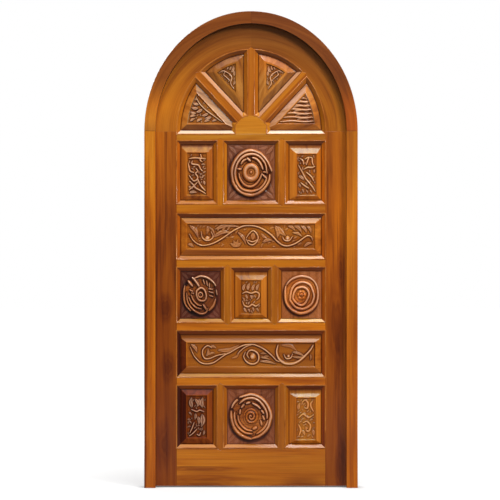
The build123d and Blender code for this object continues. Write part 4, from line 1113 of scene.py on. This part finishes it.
# Boss, its radius, shade of the wood, height of the floor, fullness of the ridges, ridges
roses = {
    "upper": ("dot", 0.4, 1.1, 0.12, 1.15, (
        ([(97, 3), (87, 24), (74, 47), (43, 77), (0, 90), (-40.5, 79), (-69, 52), (-85, 19), (-87, -12), (-79, -46),
          (-54, -76), (-23, -90), (8, -92), (38.6, -81), (65.6, -60), (83, -33), (86, -10)], 8.5, 86),
        ([(73.3, -5), (67.6, 29.4), (50, 55.4), (27, 71), (0, 75), (-31, 67.5), (-56, 46.7), (-69.5, 19),
          (-73.4, -12), (-63.7, -43.3), (-42.5, -67.5), (-11.6, -77), (19.3, -75), (46.3, -63), (65.6, -40),
          (71.8, -22.5)], 7.5, 96),
        ([(-56, -3.5), (-50, -26), (-31, -50), (-4, -58.5), (23, -48), (42.5, -24), (50, -5)], 5.5, 94),
        ([(-62, 14), (-44, 13)], 5.5, 86), ([(-46.3, 33), (-36.7, 46.7), (-21, 54.3)], 5.5, 88),
        ([(-19.3, 59), (-2, 46)], 5.5, 100), ([(5, 61), (27, 53), (45, 34), (55, 11)], 6.2, 96),
        ([(50, -7), (72, -25)], 5, 96), ([(56, 2), (70, 0)], 4.5, 80),
    )),
    "middle_left": ("dot", 0.17, 1.15, 0.14, 1.1, (
        ([(-36.7, 80), (0, 92), (36.7, 86), (70, 65), (86.7, 44)], 7.5, 100), ([(88.7, 26.4), (93, -1.2)], 5.5, 92),
        ([(-46.7, 86), (-26.7, 68), (-6.7, 41.7)], 8.5, 100), ([(-70, 70), (-43.3, 41.7)], 8.5, 80),
        ([(-88, 48), (-93, 1.8), (-85, -46), (-53.3, -80)], 6.5, 66),
        ([(-78, 11), (-71.3, -35), (-46.7, -68.7), (-16.7, -87), (6.7, -93), (30, -87), (42, -66)], 6.2, 92),
        ([(-66.7, -10.4), (-50, -41.1), (-23.3, -62.6), (6.7, -70)], 5.5, 92),
        ([(-53.3, 2), (-36.7, -30), (-13.3, -49), (6.7, -54)], 5.5, 96), ([(13.3, -46), (33.3, -71.8)], 7.5, 92),
        ([(-21, 20), (-21, -5), (-5, -27), (24, -27), (33, -3), (21, 26), (0, 34), (-21, 20)], 7, 96),
        ([(-62, 25), (-42, 17)], 5.5, 80), ([(-52, 10), (-36, 5)], 4.5, 70), ([(14, 76), (24, 52)], 5, 74),
        ([(33, 70), (40, 44)], 5, 74), ([(50, 60), (50, 36)], 5, 72), ([(44, 30), (70, 26.4)], 5, 70),
        ([(46, 16), (74, 9)], 5, 68), ([(48, -2), (72, -10)], 5, 62), ([(85, -20), (70, -55), (45, -78)], 7.5, 46),
    )),
    "middle_right": ("flower", 0.28, 1.75, 0.4, 1.35, (
        ([(-90, 48), (-60, 75), (-20, 90), (16.7, 91), (56.7, 79), (83.3, 50), (92, 7), (85, -37.5), (56.7, -72),
          (0, -91), (-53.3, -74), (-85, -39), (-92, 7), (-90, 48)], 7.5, 88),
        ([(-64.7, -25.6), (-60, 10), (-50, 36), (-26.7, 56), (10, 63), (46.7, 49), (64.7, 16), (68.7, -13.7),
          (50, -49.4), (6.7, -69), (-36.7, -58.3), (-64.7, -25.6)], 7, 94),
        ([(-43.3, 10), (-26.7, 32), (10, 38), (36.3, 20), (39, -7.7), (13.3, -46.4), (-16.7, -47.6), (-48, -20),
          (-43.3, 10)], 6.5, 100),
    )),
    "lower": ("spiral", 0.37, 1.5, 0.26, 1.3, (
        ([(-54, 80), (-25.8, 87), (5, 92), (41.7, 79), (69, 56), (86, 27), (92.5, 2), (87, -19), (79, -43),
          (61.5, -64), (33.7, -82), (4, -91)], 8, 92),
        ([(2, -93), (-25.8, -86), (-49.6, -74), (-73.4, -51), (-86, -22), (-91, 1.7), (-92, 24)], 8, 86),
        ([(-90, 36), (-79, 56), (-62, 71)], 6.5, 92),
        ([(-53.6, 54.6), (-25.8, 73.4), (10, 76.8), (37.7, 65), (61.5, 39), (73.4, 12), (74.2, -8.5)], 6.5, 94),
        ([(-75.4, 18.8), (-76.6, -1.7), (-69.4, -29), (-49.6, -53), (-25.8, -67.2), (6, -72)], 6.2, 94),
        ([(77.4, -15.4), (69.4, -35.8), (53.6, -54.6), (25, -73)], 6, 78),
        ([(-61, 6), (-56, -18.8), (-39.7, -41), (-18, -55), (6, -59)], 5.2, 94), ([(8, -52), (27, -44)], 7, 90),
        ([(-51.6, 10), (-49.6, 30)], 5.5, 88), ([(-45, 37), (-31.7, 51.2)], 5.5, 90),
        ([(-23, 54), (-4, 60)], 5.5, 90), ([(6, 56.5), (29.8, 44.4), (43.7, 32.4)], 5.5, 94),
        ([(47.6, 27), (60, 12)], 5.5, 90), ([(53, 4), (62, -14)], 5.5, 88), ([(44, -16), (50, -36)], 6, 70),
    )),
}


# Edge of a rosette where no ridge reaches further, its grid, and how far the grid overlaps itself to be blurred
ROSE_EDGE = 0.88
ROSE_RINGS = 84
ROSE_TURNS = 240
WRAP = 20
# Depth of a full hollow of painted shade in millimetres, and the stain that lies everywhere
ROSE_DIP = 1.6
ROSE_STAIN = 0.28
# Painted highlight: the crests are palest towards this side, as if lit from it
LIT_SIDE = math.radians(70)


def rosette(node, seed, boss, boss_radius, shade, base, fullness, ridges):
    """Carved rose in place of a CAD node, its wood's tones multiplied by shade, with painted shade and highlight."""
    low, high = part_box(node)
    centre = ((low.x + high.x) / 2, (low.z + high.z) / 2)
    radii = ((high.x - low.x) / 2, (high.z - low.z) / 2)
    height = (high.y - low.y) / MM
    rings, turns = ROSE_RINGS, ROSE_TURNS
    angles = np.linspace(0, 2 * math.pi, turns, endpoint=False)
    share, angle = np.meshgrid(np.linspace(0.80, 1.0, 41), angles, indexing="ij")
    raised = rose_lift(share * np.cos(angle), share * np.sin(angle), 0.0, fullness, ridges)[0] > 0
    edge = np.maximum(np.max(np.where(raised, share, 0), axis=0), ROSE_EDGE)
    edge = (np.roll(edge, 1) + 2 * edge + np.roll(edge, -1)) / 4
    share, angle = np.meshgrid(np.linspace(0, 1, rings + 1)[1:], angles, indexing="ij")
    reach = share * edge
    lift, crest = rose_lift(reach * np.cos(angle), reach * np.sin(angle), base, fullness, ridges)
    raised = boss_lift(reach, angle, boss, boss_radius)
    # Painted highlight on the boss and on the crests, palest towards the lit side
    crest = np.where(reach < boss_radius, np.clip(5 * raised - 4.2, 0, 0.6), crest)
    crest *= 0.62 + 0.34 * np.cos(angle - LIT_SIDE) * np.clip(2 * reach, 0, 1)
    lift = np.where(reach < boss_radius, raised, lift)
    x = centre[0] + radii[0] * reach * np.cos(angle)
    z = centre[1] + radii[1] * reach * np.sin(angle)
    lift = np.clip(lift * height + tool_marks(x / MM, z / MM, seed, 0.25), 0, height)
    wrapped = np.hstack([lift[:, -WRAP:], lift, lift[:, :WRAP]])
    dip = blurred(wrapped, 12)[:, WRAP:-WRAP] - lift
    back = leaf_front + GROUND
    vertices = list(zip(x.ravel(), (back - lift * MM).ravel(), z.ravel()))
    vertices.append((centre[0], back - lift[0].mean() * MM, centre[1]))
    vertices += list(zip(x[-1], np.full(turns, back), z[-1]))
    # Painted shade in the hollows and all over the outer wall
    cavity = [*np.clip(dip / ROSE_DIP + ROSE_STAIN, 0, 1).ravel(), 0.0, *[1.0] * turns]
    crest = [*crest.ravel(), 0.8, *[0.0] * turns]
    faces = []
    top, outer = rings * turns, (rings - 1) * turns
    under = top + 1
    for j in range(turns):
        n = (j + 1) % turns
        for i in range(0, outer, turns):
            faces.append((i + j, i + n, i + turns + n, i + turns + j))
        faces.append((top, n, j))
        faces.append((outer + j, outer + n, under + n, under + j))
    faces.append(tuple(range(under, under + turns)))
    teak = wood(f"{node}_teak", *shaded(rosette_tones, shade), angle=20 * seed, seed=80 + seed,
                carved=(0.12, 0.06, 0.05, 1), worn=0.95)
    piece = build_mesh(f"{node}_carved", vertices, faces, teak, cavity=cavity, crest=crest, crease=60)
    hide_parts(node)


# Factor on the front of the ground behind each rosette and the height of its corner leaves
grounds = {
    "upper": ((0.84, 0.95, 6.5, 1), 1.8),
    "middle_left": ((0.46, 0.36, 2.6, 1), 1.0),
    "middle_right": ((1.42, 1.55, 6.5, 1), 0.4),
    "lower": ((0.99, 1.0, 6.2, 1), 0.8),
}
for index, (row, design) in enumerate(roses.items()):
    ground, rose = f"{row}_ground_panel", f"{row}_rosette"
    front, leaf_height = grounds[row]
    panel(ground, oblong_place(ground), ground_rings, ground_carving(rose, leaf_height), GROUND_GRID, index + 10,
          seed=index + 70, front=front)
    rosette(rose, index + 1, *design)


# Screws of the hinges

SCREW_RADIUS = 3.6 * MM
SCREW_TOP_RADIUS = 3.312 * MM
SCREW_PROUD = 0.08 * MM
SCREW_TURNS = 28
HALF_SLOT = 0.45 * MM
HALF_HINGE_GAP = 0.2 * MM
# Shares of a hinge's height where its screws sit, and how far each is from the edge of the plate
screw_spots = ((0.14, 18 * MM), (0.5, 9 * MM), (0.86, 18 * MM))


def screw(name, centre, outward, body):
    """Slotted countersunk head, just proud of its plate."""
    spots, turns = [], SCREW_TURNS
    for level, radius in ((0.0, SCREW_RADIUS), (SCREW_PROUD, SCREW_TOP_RADIUS)):
        for angle in np.linspace(0, 2 * math.pi, turns, endpoint=False):
            spots.append((outward * level, radius * math.cos(angle), radius * math.sin(angle)))
    faces = [(k, (k + 1) % turns, turns + (k + 1) % turns, turns + k) for k in range(turns)]
    faces.append(tuple(range(turns - 1, -1, -1)))
    faces.append(tuple(turns + k for k in range(turns) if spots[turns + k][2] > HALF_SLOT))
    faces.append(tuple(turns + k for k in range(turns) if spots[turns + k][2] < -HALF_SLOT))
    vertices = [centre + Vector(spot) for spot in spots]
    piece = build_mesh(name, vertices, faces, hinge_brass, body)


for row in ROWS:
    pin_low, pin_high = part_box(f"{row}_hinge_pin")
    for kind, body, outward in (("frame", "frame", 1), ("door", "leaf", -1)):
        low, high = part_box(f"{row}_hinge_{kind}_leaf")
        face_x = (pin_low.x + pin_high.x) / 2 - outward * HALF_HINGE_GAP
        for index, (share, stagger) in enumerate(screw_spots):
            middle = Vector((face_x, low.y + stagger, low.z + share * (high.z - low.z)))
            screw(f"{row}_{kind}_screw_{index + 1}", middle, outward, body)


# Floor, light and camera

GLOSS_SHARE = 0.03


def seen_white(tree, output, plain, white):
    """Join two shaders so that the camera sees the second, and gloss sees a little of it."""
    path = add_node(tree, "LightPath").outputs
    faint = computed(tree, "MULTIPLY", path["Is Glossy Ray"], GLOSS_SHARE)
    seen = computed(tree, "MAXIMUM", path["Is Camera Ray"], faint)
    both = add_node(tree, "MixShader", {"Fac": seen, 1: plain.outputs[0], 2: white.outputs[0]})
    add_node(tree, output, {"Surface": both.outputs[0]})


# Floor glow that the camera sees: greyer towards the door, and darkened by occlusion under and beside the parts as
# painted contact shade
floor_paint, tree = new_material("pale_floor")
tree.nodes.clear()
away = length(tree, add_node(tree, "TexCoord").outputs["Object"])
pale = ramp(tree, share_between(tree, away, 0.5, 2.6), (0.0, grey(0.58)), (1.0, grey(0.98)))
open_sky = add_node(tree, "AmbientOcclusion", {"Distance": 0.05}).outputs["Color"]
glow = add_node(tree, "Emission", {"Color": mixed(tree, "MULTIPLY", 1.0, pale, open_sky), "Strength": 1.0})
half = add_node(tree, "BsdfDiffuse", {"Color": grey(0.42)})
lit = add_node(tree, "AddShader", {0: half.outputs[0], 1: glow.outputs[0]})
paint = add_node(tree, "BsdfDiffuse", {"Color": grey(0.3)})
seen_white(tree, "OutputMaterial", paint, lit)
bpy.ops.mesh.primitive_plane_add(size=60)
floor = bpy.context.object
floor.name = "floor"
floor.data.materials.append(floor_paint)

world = bpy.data.worlds.new("studio")
bpy.context.scene.world = world
world.use_nodes = True
tree = world.node_tree
tree.nodes.clear()
ambient = add_node(tree, "Background", {"Color": (1.0, 0.99, 0.97, 1), "Strength": 0.16})
white = add_node(tree, "Background", {"Color": full, "Strength": 1.0})
seen_white(tree, "OutputWorld", ambient, white)


def softbox(name, place, target, size, power):
    """Rectangular area light aimed at a point."""
    lamp = bpy.data.lights.new(name, "AREA")
    lamp.shape = "RECTANGLE"
    lamp.size, lamp.size_y = size
    lamp.energy = power
    lamp_object = bpy.data.objects.new(name, lamp)
    bpy.context.scene.collection.objects.link(lamp_object)
    lamp_object.location = place
    aim = Vector(target) - Vector(place)
    lamp_object.rotation_euler = aim.to_track_quat("-Z", "Y").to_euler()


softbox("key", place=(3.6, -5.2, 5.0), target=(0, 0, 1.1), size=(1.6, 1.6), power=310)
softbox("ceiling", place=(0, -2.8, 5.0), target=(0, -2.79, 0), size=(4.0, 6.0), power=160)
softbox("window", place=(0.32, -2.05, 4.5), target=(0.32, -2.04, 0), size=(0.36, 3.5), power=55)
softbox("back", place=(-2.2, 4.6, 3.6), target=(0, 0, 1.1), size=(2.0, 2.0), power=170)

# The frame's front face shows at this many millimetres to a pixel of the square image
MM_PER_PIXEL = 4.684
IMAGE_SIZE = 500
MIDDLE_COLUMN = 251
FLOOR_ROW = 488
CAMERA_DISTANCE = 10.0
camera_data = bpy.data.cameras.new("camera")
camera = bpy.data.objects.new("camera", camera_data)
bpy.context.scene.collection.objects.link(camera)
bpy.context.scene.camera = camera
camera.location = (
    (IMAGE_SIZE / 2 - MIDDLE_COLUMN) * MM_PER_PIXEL * MM,
    cad_box[0].y - CAMERA_DISTANCE,
    (FLOOR_ROW - IMAGE_SIZE / 2) * MM_PER_PIXEL * MM,
)
camera.rotation_euler = (math.radians(90), 0, 0)
camera_data.sensor_width = 36
camera_data.lens = camera_data.sensor_width * CAMERA_DISTANCE / (IMAGE_SIZE * MM_PER_PIXEL * MM)

bpy.context.scene.view_settings.view_transform = "Standard"
